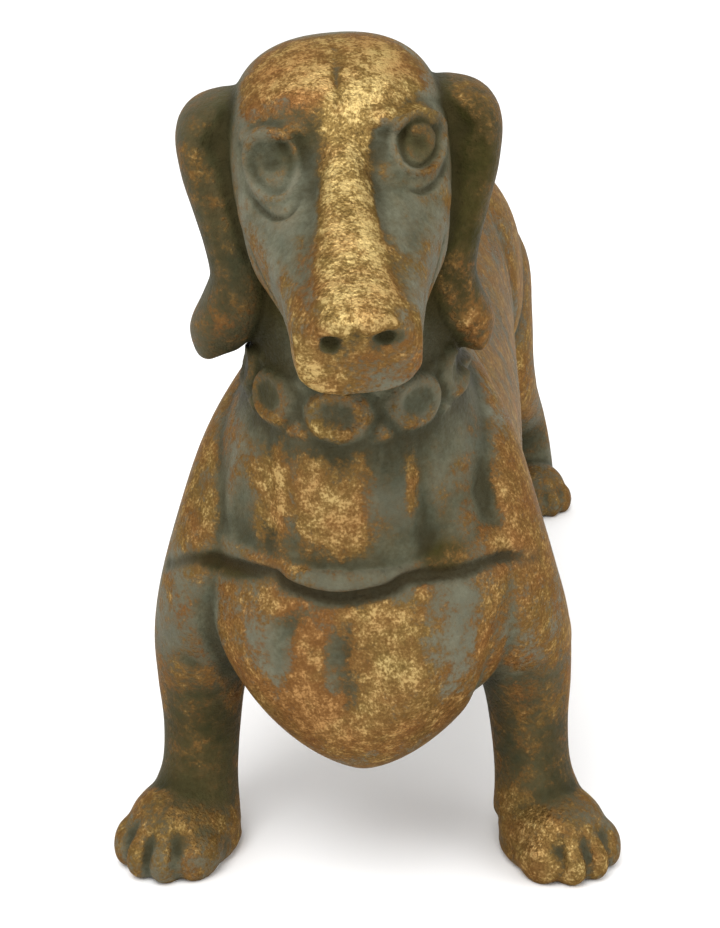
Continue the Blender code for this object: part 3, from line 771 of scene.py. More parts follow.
def collar_relief(points, normals):
    """A raised band around the neck with a row of oval ring medallions."""
    local = seen_from(collar_place(), points)
    facing = normals @ np.array(collar_place().inverted().to_3x3()).T
    radius = np.hypot(local[:, 0], local[:, 1])
    outward = (facing[:, 0] * local[:, 0] + facing[:, 1] * local[:, 1]) / np.maximum(radius, 1e-6)
    half = COLLAR_WIDTH / UNIT / 2
    edge = np.clip((half - np.abs(local[:, 2])) / BAND_BEVEL, 0, 1)
    beside = seen_from(hanging_place(), points)
    on_ear = np.clip((np.abs(beside[:, 0]) - EAR_INNER_FACE) / EAR_MARGIN, 0, 1)
    on_ear *= np.clip((EAR_HALF_LENGTH - np.abs(beside[:, 1] - EAR_MIDDLE)) / EAR_MARGIN, 0, 1)
    on_ear *= np.clip((beside[:, 2] + EAR_DROP) / EAR_MARGIN, 0, 1)
    neck_reach = np.hypot(local[:, 0] / NECK_OVAL[0], local[:, 1] / NECK_OVAL[1])
    on_neck = np.clip((NECK_SHARE - neck_reach) / NECK_FADE, 0, 1)
    on_neck *= np.clip((outward - OUTWARD_SLOPE) / OUTWARD_SLOPE, 0, 1)
    on_neck *= 1 - on_ear
    pitch = 2 * math.pi / MEDALLION_COUNT
    angle = np.arctan2(local[:, 0], -local[:, 1])
    off = (angle + pitch / 2) % pitch - pitch / 2
    long = MEDALLION_LENGTH / UNIT / 2
    tall = half - MEDALLION_INSET
    oval = np.hypot(off * radius / long, local[:, 2] / tall)
    rim = MEDALLION_RIM / UNIT / long
    ring = np.exp(-(((oval - 1 + rim) / (rim * RING_SOFTNESS)) ** 2))
    disc = 1 / (1 + np.exp((oval - DISC_END) * DISC_STEEPNESS))
    gap = np.exp(-((np.maximum(GAP_START - oval, 0) / GAP_SOFTNESS) ** 2)) * (oval < GAP_END)
    relief = COLLAR_RELIEF / UNIT
    form = BAND_HEIGHT + RING_HEIGHT * ring + DISC_HEIGHT * disc - GAP_DEPTH * gap
    return on_neck * edge * relief * form


raised += collar_relief(points, normals)
dog.data.vertices.foreach_set("co", ((points + normals * raised[:, None]) * UNIT).ravel())
dog.data.update()

# Soles
# The feet stand flat on the floor, where the casting was filed off. The skin is thinned to a number of
# triangles that a viewer can carry, cut at the floor and set in the box that the CAD dog has.
SKIN_FACES = 190000
SLAB_SIZE = 400
SLAB_MIDDLE = 90


def slab(size, top):
    """A block that reaches down from top, in figure units, under the middle of the dog."""
    place = Matrix.Translation((0, SLAB_MIDDLE, top - size / 2)) @ Matrix.Scale(size / 2, 4)
    cube = [(x, y, z) for z in (-1, 1) for y in (-1, 1) for x in (-1, 1)]
    faces = [(0, 2, 3, 1), (4, 5, 7, 6), (0, 1, 5, 4), (2, 6, 7, 3), (0, 4, 6, 2), (1, 3, 7, 5)]
    return new_object("slab", cube, faces, place)


def flat_soled(body):
    """The body with its feet cut flat at the floor."""
    cutter = slab(SLAB_SIZE, 0)
    cut = body.modifiers.new("soles", "BOOLEAN")
    cut.operation = "DIFFERENCE"
    cut.solver = "EXACT"
    cut.object = cutter
    applied(body)
    bpy.data.objects.remove(cutter, do_unlink=True)
    return body


def thinned(body, faces):
    """The body with its skin thinned to about as many triangles as faces."""
    thin = body.modifiers.new("thin", "DECIMATE")
    thin.ratio = min(1.0, faces / (2 * len(body.data.polygons)))
    thin.use_collapse_triangulate = True
    return applied(body)


def fitted(body, low, high):
    """Sets the body in the box from low to high; gives the shift and the scale it was moved by."""
    spots = vertex_rows(body, "co")
    lowest, highest = spots.min(axis=0), spots.max(axis=0)
    scale = (np.array(high) - np.array(low)) / (highest - lowest)
    shift = np.array(low) - lowest * scale
    body.data.vertices.foreach_set("co", (spots * scale + shift).ravel())
    body.data.update()
    return shift, scale


dog = flat_soled(thinned(dog, SKIN_FACES))
dog.name = "dachshund_skin"
figure_shift, figure_scale = fitted(dog, *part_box("dachshund"))
for polygon in dog.data.polygons:
    polygon.use_smooth = True

# Wear of the gilding, and painted shade and highlight
# The whole dog was gilded over a grey-green ground and rubbed back. Gold is left on what stands out: brow,
# bridge, chest, shoulders and toes. Further patches turn the ground olive, mostly as painted shade, and the
# skin's bends paint a pale highlight on its edges and shade in its hollows. Each patch is (frame, centre,
# radii, value): an ellipsoid in the frame of the part that it lies on.

# How far around itself a vertex is compared, and how often the result is evened out, in edges of the mesh
BEND_REACH = 6
BEND_EVENING = 4
# How far the skin stands out or in, in figure units, where an edge or a crevice counts as whole
WHOLE_EDGE = 0.10
WHOLE_CREVICE = 0.12
# The height of a tooled ridge, and the depths of a tooled cut and of the breast's fold, that count as whole
WHOLE_RIDGE = 1.3
WHOLE_CUT = 0.9
WHOLE_FOLD = 1.2
# What the gilding, its copper tone and the ground's dark patina and painted shade are outside of all patches
GILDING_ELSEWHERE = 0.3
COPPER_ELSEWHERE = 0.4
DARK_PATINA_AND_SHADE_ELSEWHERE = 0.12

spots = vertex_rows(dog, "co")
drawn_spots = (spots - figure_shift) / figure_scale / UNIT


def neighbour_mean(values, ends, count):
    """The mean of the values at each vertex's neighbours along the mesh's edges."""
    total = np.zeros(values.shape)
    np.add.at(total, ends[:, 0], values[ends[:, 1]])
    np.add.at(total, ends[:, 1], values[ends[:, 0]])
    return total / (count if values.ndim == 1 else count[:, None])


def bentness(body, spots, facing):
    """How far each vertex stands out of its surroundings, in figure units: negative in a hollow."""
    ends = np.empty(len(body.data.edges) * 2, int)
    body.data.edges.foreach_get("vertices", ends)
    ends = ends.reshape(-1, 2)
    count = np.bincount(ends.ravel(), minlength=len(spots)).astype(float)
    around = spots
    for _ in range(BEND_REACH):
        around = neighbour_mean(around, ends, count)
    out = np.einsum("ij,ij->i", spots - around, facing) / UNIT
    for _ in range(BEND_EVENING):
        out = neighbour_mean(out, ends, count)
    return out


def within(place, centre, radii, softness=0.35):
    """1 inside an ellipsoid in a frame, falling to 0 outside of it over the softness."""
    size = np.linalg.norm((seen_from(place, drawn_spots) - centre) / radii, axis=1)
    t = np.clip((1 + softness - size) / (2 * softness), 0, 1)
    return t * t * (3 - 2 * t)


def patched(base, patches):
    """Values that start at base, with each (frame, centre, radii, value) laid over them in turn."""
    values = np.full(len(drawn_spots), float(base))
    for place, centre, radii, value in patches:
        share = within(place, centre, radii)
        values += (value - values) * share
    return values


HEAD = head_place()
EARS = hanging_place()
GILDING = [
    (BODY, (0, 90, 60), (60, 100, 60), 0.5),
    (BODY, (0, 70, 95), (22, 90, 14), 0.6),
    (BODY, (0, 175, 84), (30, 22, 16), 0.68),
    (BODY, (0, 90, 22), (40, 70, 12), 0.14),
    (BODY, (0, 25, 50), (60, 8, 24), 0.16),
    (BODY, (0, 138, 54), (60, 9, 22), 0.2),
    (BODY, (0, 82, 62), (60, 22, 9), 0.36),
    (BODY, (0, 160, 18), (60, 30, 14), 0.2),
    (BODY, (0, 158, 4), (60, 18, 6), 0.34),
    (BODY, (0, 2, 40), (60, 40, 42), 0.4),
    (BODY, (0, 4, 100), (30, 34, 14), 0.04),
    (BODY, (0.5, -22, 92), (7, 6, 5), 0.36),
    (BODY, (-2.4, -25, 76), (6.5, 9, 14), 0.66),
    (BODY, (-8.4, -25, 76), (1.3, 9, 11), 0.3),
    (BODY, (-12, -24, 77), (2.8, 9, 10), 0.88),
    (BODY, (8.4, -25, 72), (4, 10, 15), 0.08),
    (BODY, (1, -27, 64.4), (13, 10, 2.2), 0.12),
    (BODY, (-19.5, -18, 76), (4.5, 10, 12), 0.14),
    (BODY, (-25.5, -10, 78), (3.6, 12, 16), 0.56),
    (BODY, (19, -18, 76), (7, 14, 15), 0.12),
    (BODY, (11.5, -24, 80), (1.2, 9, 8), 0.6),
    (BODY, (28.5, -8, 76), (5.5, 14, 14), 0.54),
    (BODY, (0, -24, 44), (22, 14, 16), 0.53),
    (BODY, (5, -26, 52), (7, 9, 8), 0.68),
    (BODY, (-5.5, -28, 42), (5, 10, 8), 0.66),
    (BODY, (-13, -24, 51), (5, 9, 5), 0.2),
    (BODY, (-2, -28, 50), (2.2, 9, 5), 0.22),
    (BODY, (17.5, -22, 53), (4.4, 12, 12), 0.08),
    (BODY, (-30, -6, 47), (9, 18, 17), 0.12),
    (BODY, (-24, -20, 62.5), (8, 12, 2.6), 0.1),
    (BODY, (17, -22, 66.5), (4.5, 10, 3.2), 0.12),
    (BODY, (31, -4, 47), (8, 16, 14), 0.42),
    (BODY, (-31, 2, 22), (13, 20, 16), 0.28),
    (BODY, (31, 4, 22), (13, 20, 16), 0.4),
    (BODY, (-34, -12, 6), (14, 9, 7), 0.32),
    (BODY, (34, -12, 6), (14, 9, 7), 0.5),
    (HEAD, (0, 10, -8), (26, 30, 26), 0.1),
    (HEAD, (0, 12, 9), (16, 13, 9), 0.9),
    (HEAD, (0.8, 10, 12), (1.3, 12, 7), 0.6),
    (HEAD, (-7.5, 5, 5), (6.5, 3.6, 5), 0.42),
    (HEAD, (-4.8, 2, 2), (4, 4.5, 5), 0.42),
    (HEAD, (0.6, -8, 0), (5.2, 16, 6), 0.76),
    (HEAD, (0.4, -26, -4), (6.8, 13, 6), 0.95),
    (HEAD, (-5.8, -25, -7), (2.8, 14, 5.5), 0.42),
    (HEAD, (5.4, -8, -5), (1.2, 9, 5), 0.3),
    (HEAD, (8.5, 5.5, 5), (6.5, 3.4, 5), 0.9),
    (HEAD, (-5, -34, -12), (7, 9, 8), 0.58),
    (HEAD, (5, -36, -12), (8, 5, 8), 0.44),
    (HEAD, (-6.6, -36, -15), (3, 6, 5), 0.84),
    (HEAD, (2.4, 3, 3.4), (3.6, 5, 3.6), 1.0),
    (HEAD, (4.5, -37, -17), (6.5, 6, 3), 0.2),
    (HEAD, (0.5, -38, -2.9), (6, 6, 1.0), 0.86),
    (HEAD, (-4.2, -38, -6.8), (1.6, 6, 1.2), 0.0),
    (HEAD, (4.6, -38, -6.0), (2.6, 6, 1.5), 0.05),
    (HEAD, (12, -2, -9), (6, 5, 3), 0.42),
    (EARS, (-21, 20, -14), (8, 17, 26), 0.1),
    (EARS, (21, 20, -14), (8, 17, 26), 0.06),
    (EARS, (-23, 20, -34), (7, 12, 4), 0.08),
    (EARS, (23, 20, -33), (6, 12, 6), 0.22),
]
COPPER = [
    (BODY, (0, 60, 60), (60, 120, 70), 0.45),
    (BODY, (-3, -24, 76), (12, 12, 14), 0.45),
    (BODY, (0, -20, 44), (40, 26, 18), 0.7),
    (BODY, (-8, -26, 46), (10, 12, 14), 1.0),
    (BODY, (8, -26, 50), (8, 12, 12), 0.3),
    (BODY, (28, -8, 74), (8, 14, 18), 0.75),
    (BODY, (0, -12, 6), (60, 9, 8), 0.3),
    (HEAD, (0, 10, 8), (20, 20, 10), 0.4),
    (HEAD, (-9, 10, 9), (8, 14, 8), 0.8),
    (HEAD, (0, -17, -6), (14, 26, 12), 0.12),
    (HEAD, (9, 5, 5), (9, 5, 6), 0.0),
    (HEAD, (-5.8, -25, -7), (3, 14, 5.5), 0.95),
    (HEAD, (1, 2, 2), (5, 7, 6), 0.05),
    (HEAD, (4.5, -37, -12), (7, 6, 6), 0.75),
    (EARS, (0, 20, -33), (30, 14, 8), 0.7),
]
# Painted shade for the most part: these patches turn the ground olive under the chin and down the throat, in
# the eye sockets and nostrils, under the breast's fold, low on the legs, under the belly and on the ears'
# faces, where shade falls. Beside the stop the olive is the patina's own dark green.
DARK_PATINA_AND_SHADE = [
    (BODY, (0, -8, 74), (32, 28, 16), 0.4),
    (BODY, (0, 160, 16), (60, 34, 18), 0.5),
    (BODY, (-30, -4, 48), (9, 18, 14), 0.35),
    (BODY, (-31, 2, 22), (14, 20, 22), 0.9),
    (BODY, (31, 4, 22), (14, 20, 22), 0.75),
    (BODY, (0, -2, 97), (26, 28, 8), 0.35),
    (BODY, (-15, -12, 96), (7, 9, 8), 0.8),
    (BODY, (0, -10, 110), (24, 24, 7), 1.0),
    (BODY, (25, 4, 88), (8, 16, 9), 0.0),
    (HEAD, (0, 4, -8), (20, 20, 16), 0.0),
    (HEAD, (-11, 2, 0), (5, 6, 5.5), 0.3),
    (HEAD, (-7.6, 1, 0.4), (2.6, 5, 3.6), 0.6),
    (HEAD, (-4.8, 3, 3), (4, 4.5, 5), 0.7),
    (HEAD, (12, -6, -6), (6, 14, 9), 0.3),
    (HEAD, (12.4, 2, 0.8), (4, 6, 4.4), 0.85),
    (HEAD, (-4.2, -38, -6.8), (1.8, 6, 1.4), 0.9),
    (HEAD, (4.6, -38, -6.0), (2.6, 6, 1.6), 0.8),
    (BODY, (-24, -20, 62.5), (8, 12, 2.6), 1.0),
    (BODY, (17, -22, 66.5), (4.5, 10, 3.2), 1.0),
    (EARS, (-21, 20, -12), (9, 18, 32), 0.88),
    (EARS, (21, 20, -12), (9, 18, 32), 1.0),
]

standing = bentness(dog, spots, vertex_rows(dog, "normal"))
fold = pressed(drawn_spots, BODY, AHEAD, breast_lines()[:1])
tooled = pressed(drawn_spots, face_place(), AHEAD, face_lines())
tooled += pressed(drawn_spots, HEAD, AHEAD, nose_lines())


def attribute(body, name, values):
    """Stores a value for each vertex under a name that the material reads."""
    layer = body.data.attributes.new(name, "FLOAT", "POINT")
    layer.data.foreach_set("value", np.asarray(values, np.float32))


attribute(dog, "gilding", patched(GILDING_ELSEWHERE, GILDING))
attribute(dog, "copper", patched(COPPER_ELSEWHERE, COPPER))
attribute(dog, "dark_patina_and_shade", patched(DARK_PATINA_AND_SHADE_ELSEWHERE, DARK_PATINA_AND_SHADE))
# Edge keeps gold on what stands out and also paints a pale highlight on ridges and lids; crevice wears gold
# out of hollows and cut lines and also paints shade into them
attribute(dog, "edge", np.clip(standing / WHOLE_EDGE + np.maximum(tooled, 0) / WHOLE_RIDGE, 0, 1))
attribute(dog, "crevice", np.clip(-standing / WHOLE_CREVICE + np.maximum(-tooled, 0) / WHOLE_CUT, 0, 1))
attribute(dog, "fold", np.clip(-fold / WHOLE_FOLD, 0, 1))


def group(name, inputs, outputs):
    """A node group with its sockets, as a tree, its inputs' node and its outputs' node."""
    tree = bpy.data.node_groups.new(name, "ShaderNodeTree")
    for label, value in inputs:
        socket = tree.interface.new_socket(label, in_out="INPUT", socket_type="NodeSocketFloat")
        socket.default_value = value
    for label, kind in outputs:
        tree.interface.new_socket(label, in_out="OUTPUT", socket_type=kind)
    return tree, tree.nodes.new("NodeGroupInput"), tree.nodes.new("NodeGroupOutput")


def feed(tree, socket, source):
    """Links a socket to another one, or sets it to a value."""
    if isinstance(source, bpy.types.NodeSocket):
        tree.links.new(source, socket)
    else:
        socket.default_value = source


def wired(tree, kind, links=(), **values):
    """A node with its properties set and its inputs fed, by name."""
    node = tree.nodes.new(kind)
    for key, value in values.items():
        setattr(node, key, value)
    for label, source in dict(links).items():
        feed(tree, node.inputs[label], source)
    return node


def calculated(tree, operation, *sources, clamp=False):
    """A Math node's result."""
    node = tree.nodes.new("ShaderNodeMath")
    node.operation = operation
    node.use_clamp = clamp
    for socket, source in zip(node.inputs, sources):
        feed(tree, socket, source)
    return node.outputs[0]


def speckle(tree, place, size, detail, seed):
    """Noise whose grains are about size metres wide."""
    links = {"Vector": place, "Scale": 1 / size, "Detail": detail, "Roughness": 0.6, "W": seed}
    return wired(tree, "ShaderNodeTexNoise", links, noise_dimensions="4D").outputs["Fac"]


def uneven(tree, place, size, detail, seed, height):
    """The same noise, as a value around nothing that is height from end to end."""
    return calculated(tree, "MULTIPLY_ADD", speckle(tree, place, size, detail, seed), height, -height / 2)


def faded(tree, value, low, high):
    """0 below low, 1 above high and smooth between."""
    links = {"Value": value, "From Min": low, "From Max": high, "To Min": 0.0, "To Max": 1.0}
    return wired(tree, "ShaderNodeMapRange", links, interpolation_type="SMOOTHSTEP").outputs["Result"]


# Where a Mix node keeps the sockets for colours, among those for other kinds of value
FIRST_COLOUR = 6
SECOND_COLOUR = 7
MIXED_COLOUR = 2


def blended(tree, share, first, second):
    """Two colours mixed: all of the first at a share of 0, and all of the second at 1."""
    node = tree.nodes.new("ShaderNodeMix")
    node.data_type = "RGBA"
    feed(tree, node.inputs["Factor"], share)
    feed(tree, node.inputs[FIRST_COLOUR], first)
    feed(tree, node.inputs[SECOND_COLOUR], second)
    return node.outputs[MIXED_COLOUR]


# Marks that break the gold's patches up, and pale dabs and specks on it that are painted glints: grain in
# metres, detail, seed and height
BLOTCHES = (0.0085, 4, 1.3, 1.4)
BRUSH_MARKS = (0.0024, 4, 5.1, 1.0)
SPECKS = (0.00062, 3, 8.7, 1.0)
GLINT_DABS = (0.0016, 3, 2.9, 2.2)
GLINT_SPECKS = (0.00048, 2, 9.9, 2.2)
# How much more gilding an edge keeps, and how much a crevice has lost
EDGE_GAIN = 0.25
CREVICE_LOSS = 0.4


def wear_and_glint_group():
    """Where gold is left: patches broken up by blotches, brush marks and specks, and kept on the edges.
    Where it is heavy it is also dabbed and specked pale as painted glints.
    """
    tree, given, result = group(
        "worn_gilding_with_glints",
        [("Gilding", 0.5), ("Edge", 0.0), ("Crevice", 0.0)],
        [("Mask", "NodeSocketFloat"), ("Thick Gold And Glints", "NodeSocketFloat"), ("Stain", "NodeSocketFloat")],
    )
    place = tree.nodes.new("ShaderNodeTexCoord").outputs["Object"]
    left = given.outputs["Gilding"]
    for marks in (BLOTCHES, BRUSH_MARKS):
        left = calculated(tree, "ADD", left, uneven(tree, place, *marks))
    left = calculated(tree, "MULTIPLY_ADD", given.outputs["Edge"], EDGE_GAIN, left)
    left = calculated(tree, "MULTIPLY_ADD", given.outputs["Crevice"], -CREVICE_LOSS, left)
    tree.links.new(faded(tree, left, 0.0, 0.5), result.inputs["Stain"])
    speckled = calculated(tree, "ADD", left, uneven(tree, place, *SPECKS))
    tree.links.new(faded(tree, speckled, 0.26, 0.68), result.inputs["Mask"])
    # Painted glints: pale gold dabs and specks are laid over the gilding where it is heaviest, in place of
    # highlights
    glints = calculated(tree, "ADD", left, uneven(tree, place, *GLINT_DABS))
    glints = calculated(tree, "ADD", glints, uneven(tree, place, *GLINT_SPECKS))
    tree.links.new(faded(tree, glints, 0.25, 1.65), result.inputs["Thick Gold And Glints"])
    return tree


# The ground's colours: a lighter cloud of each green, olives that are dark patina in places and painted
# shade in others, a pale green for edges that is worn patina and painted highlight, a near black that is
# painted shade in crevices, and rust for the fold of the breast
GREY_GREEN = (0.082, 0.087, 0.060, 1)
LIGHT_GREY_GREEN = (0.130, 0.131, 0.090, 1)
OLIVE = (0.020, 0.020, 0.005, 1)
LIGHT_OLIVE = (0.045, 0.038, 0.011, 1)
BROWN = (0.082, 0.054, 0.021, 1)
DARK_GRIT = (0.028, 0.021, 0.006, 1)
RUBBED_AND_HIGHLIGHT_GREEN = (0.190, 0.182, 0.132, 1)
CREVICE_SHADE = (0.020, 0.016, 0.006, 1)
RUST = (0.030, 0.017, 0.007, 1)
# Noises of the ground: grain in metres, detail and seed
CLOUDS = (0.011, 4, 2.2)
MOTTLE = (0.0032, 4, 6.1)
GRIT = (0.0009, 3, 4.4)
# How strongly each is laid on: brown beside the gold and over the mottle, grit, pale edges that are worn
# patina and painted highlight, and painted shade in crevices
BROWN_STAIN = 0.6
BROWN_MOTTLE = 0.2
GRIT_SHARE = 0.3
RUBBED_AND_HIGHLIGHT_SHARE = 0.4
CREVICE_SHADE_SHARE = 0.65


def ground_group():
    """The grey-green ground: olive by dark patina and painted shade, brown by the gold, pale on edges as
    worn patina and painted highlight, and painted shade in hollows.
    """
    tree, given, result = group(
        "patina_ground_shade_and_highlight",
        [("Dark_Patina_And_Shade", 0.0), ("Edge", 0.0), ("Crevice", 0.0), ("Fold", 0.0), ("Stain", 0.0)],
        [("Color", "NodeSocketColor")],
    )
    place = tree.nodes.new("ShaderNodeTexCoord").outputs["Object"]
    cloud = faded(tree, speckle(tree, place, *CLOUDS), 0.38, 0.62)
    mottle = faded(tree, speckle(tree, place, *MOTTLE), 0.46, 0.66)
    grit = faded(tree, speckle(tree, place, *GRIT), 0.35, 0.65)
    pale = blended(tree, cloud, GREY_GREEN, LIGHT_GREY_GREEN)
    dark = blended(tree, cloud, OLIVE, LIGHT_OLIVE)
    colour = blended(tree, given.outputs["Dark_Patina_And_Shade"], pale, dark)
    stain = calculated(tree, "MULTIPLY", given.outputs["Stain"], BROWN_STAIN)
    stain = calculated(tree, "MULTIPLY_ADD", mottle, BROWN_MOTTLE, stain)
    colour = blended(tree, stain, colour, BROWN)
    colour = blended(tree, calculated(tree, "MULTIPLY", grit, GRIT_SHARE), colour, DARK_GRIT)
    # Painted highlight, partly worn patina: edges and tooled ridges turn pale green, less so where the
    # ground is olive
    rubbed_and_highlight = calculated(tree, "MULTIPLY_ADD", given.outputs["Dark_Patina_And_Shade"], -RUBBED_AND_HIGHLIGHT_SHARE, RUBBED_AND_HIGHLIGHT_SHARE)
    rubbed_and_highlight = calculated(tree, "MULTIPLY", given.outputs["Edge"], rubbed_and_highlight, clamp=True)
    colour = blended(tree, rubbed_and_highlight, colour, RUBBED_AND_HIGHLIGHT_GREEN)
    # Painted shade: crevices and cut lines are darkened nearly to black, where shade falls
    crevice_shade = calculated(tree, "MULTIPLY", given.outputs["Crevice"], CREVICE_SHADE_SHARE)
    colour = blended(tree, crevice_shade, colour, CREVICE_SHADE)
    colour = blended(tree, given.outputs["Fold"], colour, RUST)
    tree.links.new(colour, result.inputs["Color"])
    return tree


# The gilding's colours, each a gold and a copper one, where it lies thin, whole and heavy; the pale heavy
# one is also painted glints
THIN_GILDING = ((0.125, 0.078, 0.024, 1), (0.140, 0.064, 0.020, 1))
WHOLE_GILDING = ((0.205, 0.132, 0.042, 1), (0.190, 0.092, 0.030, 1))
THICK_GILDING_AND_GLINTS = ((0.460, 0.335, 0.132, 1), (0.360, 0.195, 0.070, 1))
# Noise that shifts the gilding between gold and copper, and how far it does
COPPER_CLOUDS = (0.006, 4, 3.3)
COPPER_SHIFT = 1.3


def gold_group():
    """The gilding's colour: brown where thin, tan and then pale where heavy and where glints are painted,
    and more orange by Copper.
    """
    tree, given, result = group(
        "gold_tones",
        [("Copper", 0.5), ("Thick Gold And Glints", 0.5)],
        [("Color", "NodeSocketColor")],
    )
    place = tree.nodes.new("ShaderNodeTexCoord").outputs["Object"]
    cloud = uneven(tree, place, *COPPER_CLOUDS, 2 * COPPER_SHIFT)
    tone = calculated(tree, "ADD", given.outputs["Copper"], cloud, clamp=True)
    thin = blended(tree, tone, *THIN_GILDING)
    whole = blended(tree, tone, *WHOLE_GILDING)
    thick_and_glints = blended(tree, tone, *THICK_GILDING_AND_GLINTS)
    colour = blended(tree, faded(tree, given.outputs["Thick Gold And Glints"], 0.0, 0.5), thin, whole)
    colour = blended(tree, faded(tree, given.outputs["Thick Gold And Glints"], 0.4, 1.0), colour, thick_and_glints)
    tree.links.new(colour, result.inputs["Color"])
    return tree


# Noises of the casting's skin: grain in metres, detail and seed
SAND = (0.0007, 3, 6.6)
LUMPS = (0.0026, 3, 7.7)
# Heights of the lumps and of the gilding, as shares of the sand's
LUMP_HEIGHT = 1.3
GILDING_HEIGHT = 0.25


def grain_group():
    """The sandy skin of the casting and the brushed gilding on it."""
    tree, given, result = group("casting_grain", [("Gilding", 0.5)], [("Height", "NodeSocketFloat")])
    place = tree.nodes.new("ShaderNodeTexCoord").outputs["Object"]
    sand = speckle(tree, place, *SAND)
    lumps = speckle(tree, place, *LUMPS)
    height = calculated(tree, "MULTIPLY_ADD", lumps, LUMP_HEIGHT, sand)
    height = calculated(tree, "MULTIPLY_ADD", given.outputs["Gilding"], GILDING_HEIGHT, height)
    tree.links.new(height, result.inputs["Height"])
    return tree


# The gold shines as worn metal does, and the ground between it is matt
GOLD_METALLIC = 0.7
GROUND_ROUGHNESS = 0.62
GOLD_POLISH = 0.2
SPECULAR_LEVEL = 0.1
SPECULAR_TINT = (0.55, 0.42, 0.27, 1)
GRAIN_STRENGTH = 0.8
GRAIN_DEPTH = 0.0005


def gilded_metal():
    """Worn gilding over patina, on one skin."""
    material = bpy.data.materials.new("gilded_bronze_worn")
    material.use_nodes = True
    tree = material.node_tree
    shader = tree.nodes["Principled BSDF"]
    read = {
        name: wired(tree, "ShaderNodeAttribute", attribute_name=name).outputs["Fac"]
        for name in ("gilding", "copper", "dark_patina_and_shade", "edge", "crevice", "fold")
    }

    def placed(made, links):
        """A group's outputs, once it is placed in the material with its inputs linked."""
        node = tree.nodes.new("ShaderNodeGroup")
        node.node_tree = made
        for label, source in links.items():
            tree.links.new(source, node.inputs[label])
        return node.outputs

    worn = {name.title(): read[name] for name in ("gilding", "edge", "crevice")}
    wear = placed(wear_and_glint_group(), worn)
    open_skin = calculated(tree, "SUBTRACT", 1.0, read["fold"])
    mask = calculated(tree, "MULTIPLY", wear["Mask"], open_skin, clamp=True)
    below = {name.title(): read[name] for name in ("dark_patina_and_shade", "edge", "crevice", "fold")}
    ground = placed(ground_group(), {**below, "Stain": wear["Stain"]})
    gold = placed(gold_group(), {"Copper": read["copper"], "Thick Gold And Glints": wear["Thick Gold And Glints"]})
    tree.links.new(blended(tree, mask, ground["Color"], gold["Color"]), shader.inputs["Base Color"])
    tree.links.new(calculated(tree, "MULTIPLY", mask, GOLD_METALLIC), shader.inputs["Metallic"])
    roughness = calculated(tree, "MULTIPLY_ADD", mask, -GOLD_POLISH, GROUND_ROUGHNESS)
    tree.links.new(roughness, shader.inputs["Roughness"])
    shader.inputs["Specular IOR Level"].default_value = SPECULAR_LEVEL
    shader.inputs["Specular Tint"].default_value = SPECULAR_TINT
    height = placed(grain_group(), {"Gilding": mask})["Height"]
    grain = {"Height": height, "Strength": GRAIN_STRENGTH, "Distance": GRAIN_DEPTH}
    bump = wired(tree, "ShaderNodeBump", grain)
    tree.links.new(bump.outputs["Normal"], shader.inputs["Normal"])
    return material


dog.data.materials.append(gilded_metal())
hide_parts("dachshund")
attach(dog, "root")

# Floor
# A plain pale studio floor of matt paper that fills the picture. It only carries the dog's shadow and is no
# part of it.
FLOOR_REACH = 8.0
FLOOR_WHITE = (0.96, 0.96, 0.96, 1)
FLOOR_ROUGHNESS = 0.9
bpy.ops.mesh.primitive_plane_add(size=2 * FLOOR_REACH)
floor = bpy.context.object
floor.name = "floor"
paper = bpy.data.materials.new("pale_floor")
paper.use_nodes = True
paper_shader = paper.node_tree.nodes["Principled BSDF"]
paper_shader.inputs["Base Color"].default_value = FLOOR_WHITE
paper_shader.inputs["Roughness"].default_value = FLOOR_ROUGHNESS
floor.data.materials.append(paper)

# Light
# Soft studio light from all around, with a broad lamp high on the viewer's left and a weaker one on the
# right. Places and sizes are in metres, and power is in watts.
CHEST = Vector((0, -0.1, 0.08))
ROOM_LIGHT = 1.12


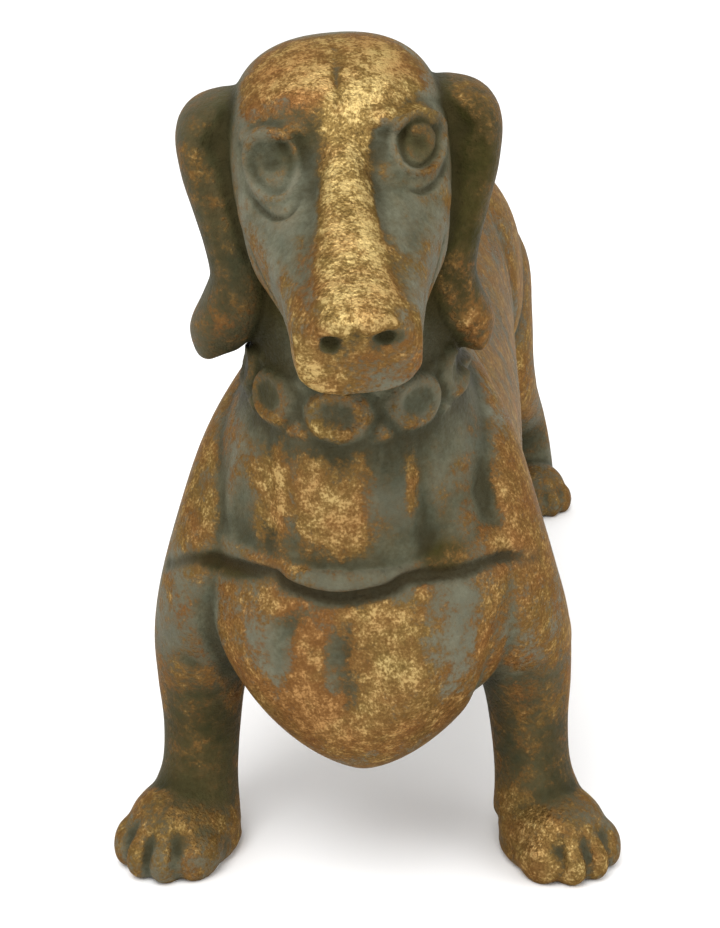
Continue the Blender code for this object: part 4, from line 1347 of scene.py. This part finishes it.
def lamp(name, spot, size, power):
    """A square area lamp that faces the dog's chest."""
    light = bpy.data.lights.new(name, "AREA")
    light.size = size
    light.energy = power
    obj = bpy.data.objects.new(name, light)
    obj.location = spot
    aim = CHEST - Vector(spot)
    obj.rotation_euler = aim.to_track_quat("-Z", "Y").to_euler()
    bpy.context.scene.collection.objects.link(obj)


lamp("key_lamp", (-0.15, -0.7, 1.1), 0.7, 10)
lamp("fill_lamp", (0.9, -0.5, 0.6), 0.6, 2)
world = bpy.data.worlds.new("studio")
world.use_nodes = True
background = world.node_tree.nodes["Background"]
background.inputs["Color"].default_value = (1, 1, 1, 1)
background.inputs["Strength"].default_value = ROOM_LIGHT
bpy.context.scene.world = world
bpy.context.scene.view_settings.view_transform = "Standard"

# Camera
# It stood close in front of the dog and a little to its left, and looked down at its face. Its distance
# and its rise over the floor are in figure units. Its focal length and aim are in pixels of the photograph
# and were worked out from the dog's perspective in it.
PHOTO_HEIGHT = 928
FOCAL_PIXELS = 1970
AIM_PIXELS = -5
SENSOR = 36
AZIMUTH = math.radians(6.0)
ROLL = math.radians(1.6)
PITCH = math.radians(19.4)
DISTANCE = 324
RISE = 190

ahead = Vector((-math.sin(AZIMUTH), math.cos(AZIMUTH), 0))
ahead.rotate(Matrix.Rotation(math.atan(AIM_PIXELS / FOCAL_PIXELS), 3, "Z"))
look = math.cos(PITCH) * ahead + math.sin(PITCH) * Vector((0, 0, -1))
aside = look.cross(Vector((0, 0, 1))).normalized()
above = aside.cross(look)
right = math.cos(ROLL) * aside - math.sin(ROLL) * above
up = math.sin(ROLL) * aside + math.cos(ROLL) * above
eye = Vector((math.sin(AZIMUTH) * DISTANCE, -math.cos(AZIMUTH) * DISTANCE, RISE))
eye = Vector(np.array(eye) * figure_scale * UNIT + figure_shift)
camera = bpy.data.cameras.new("camera")
camera.sensor_fit = "AUTO"
camera.sensor_width = SENSOR
camera.lens = FOCAL_PIXELS / PHOTO_HEIGHT * SENSOR
camera.clip_start = 0.01
camera_object = bpy.data.objects.new("camera", camera)
turn = Matrix((right, up, -look)).transposed()
camera_object.matrix_world = Matrix.Translation(eye) @ turn.to_4x4()
bpy.context.scene.collection.objects.link(camera_object)
bpy.context.scene.camera = camera_object
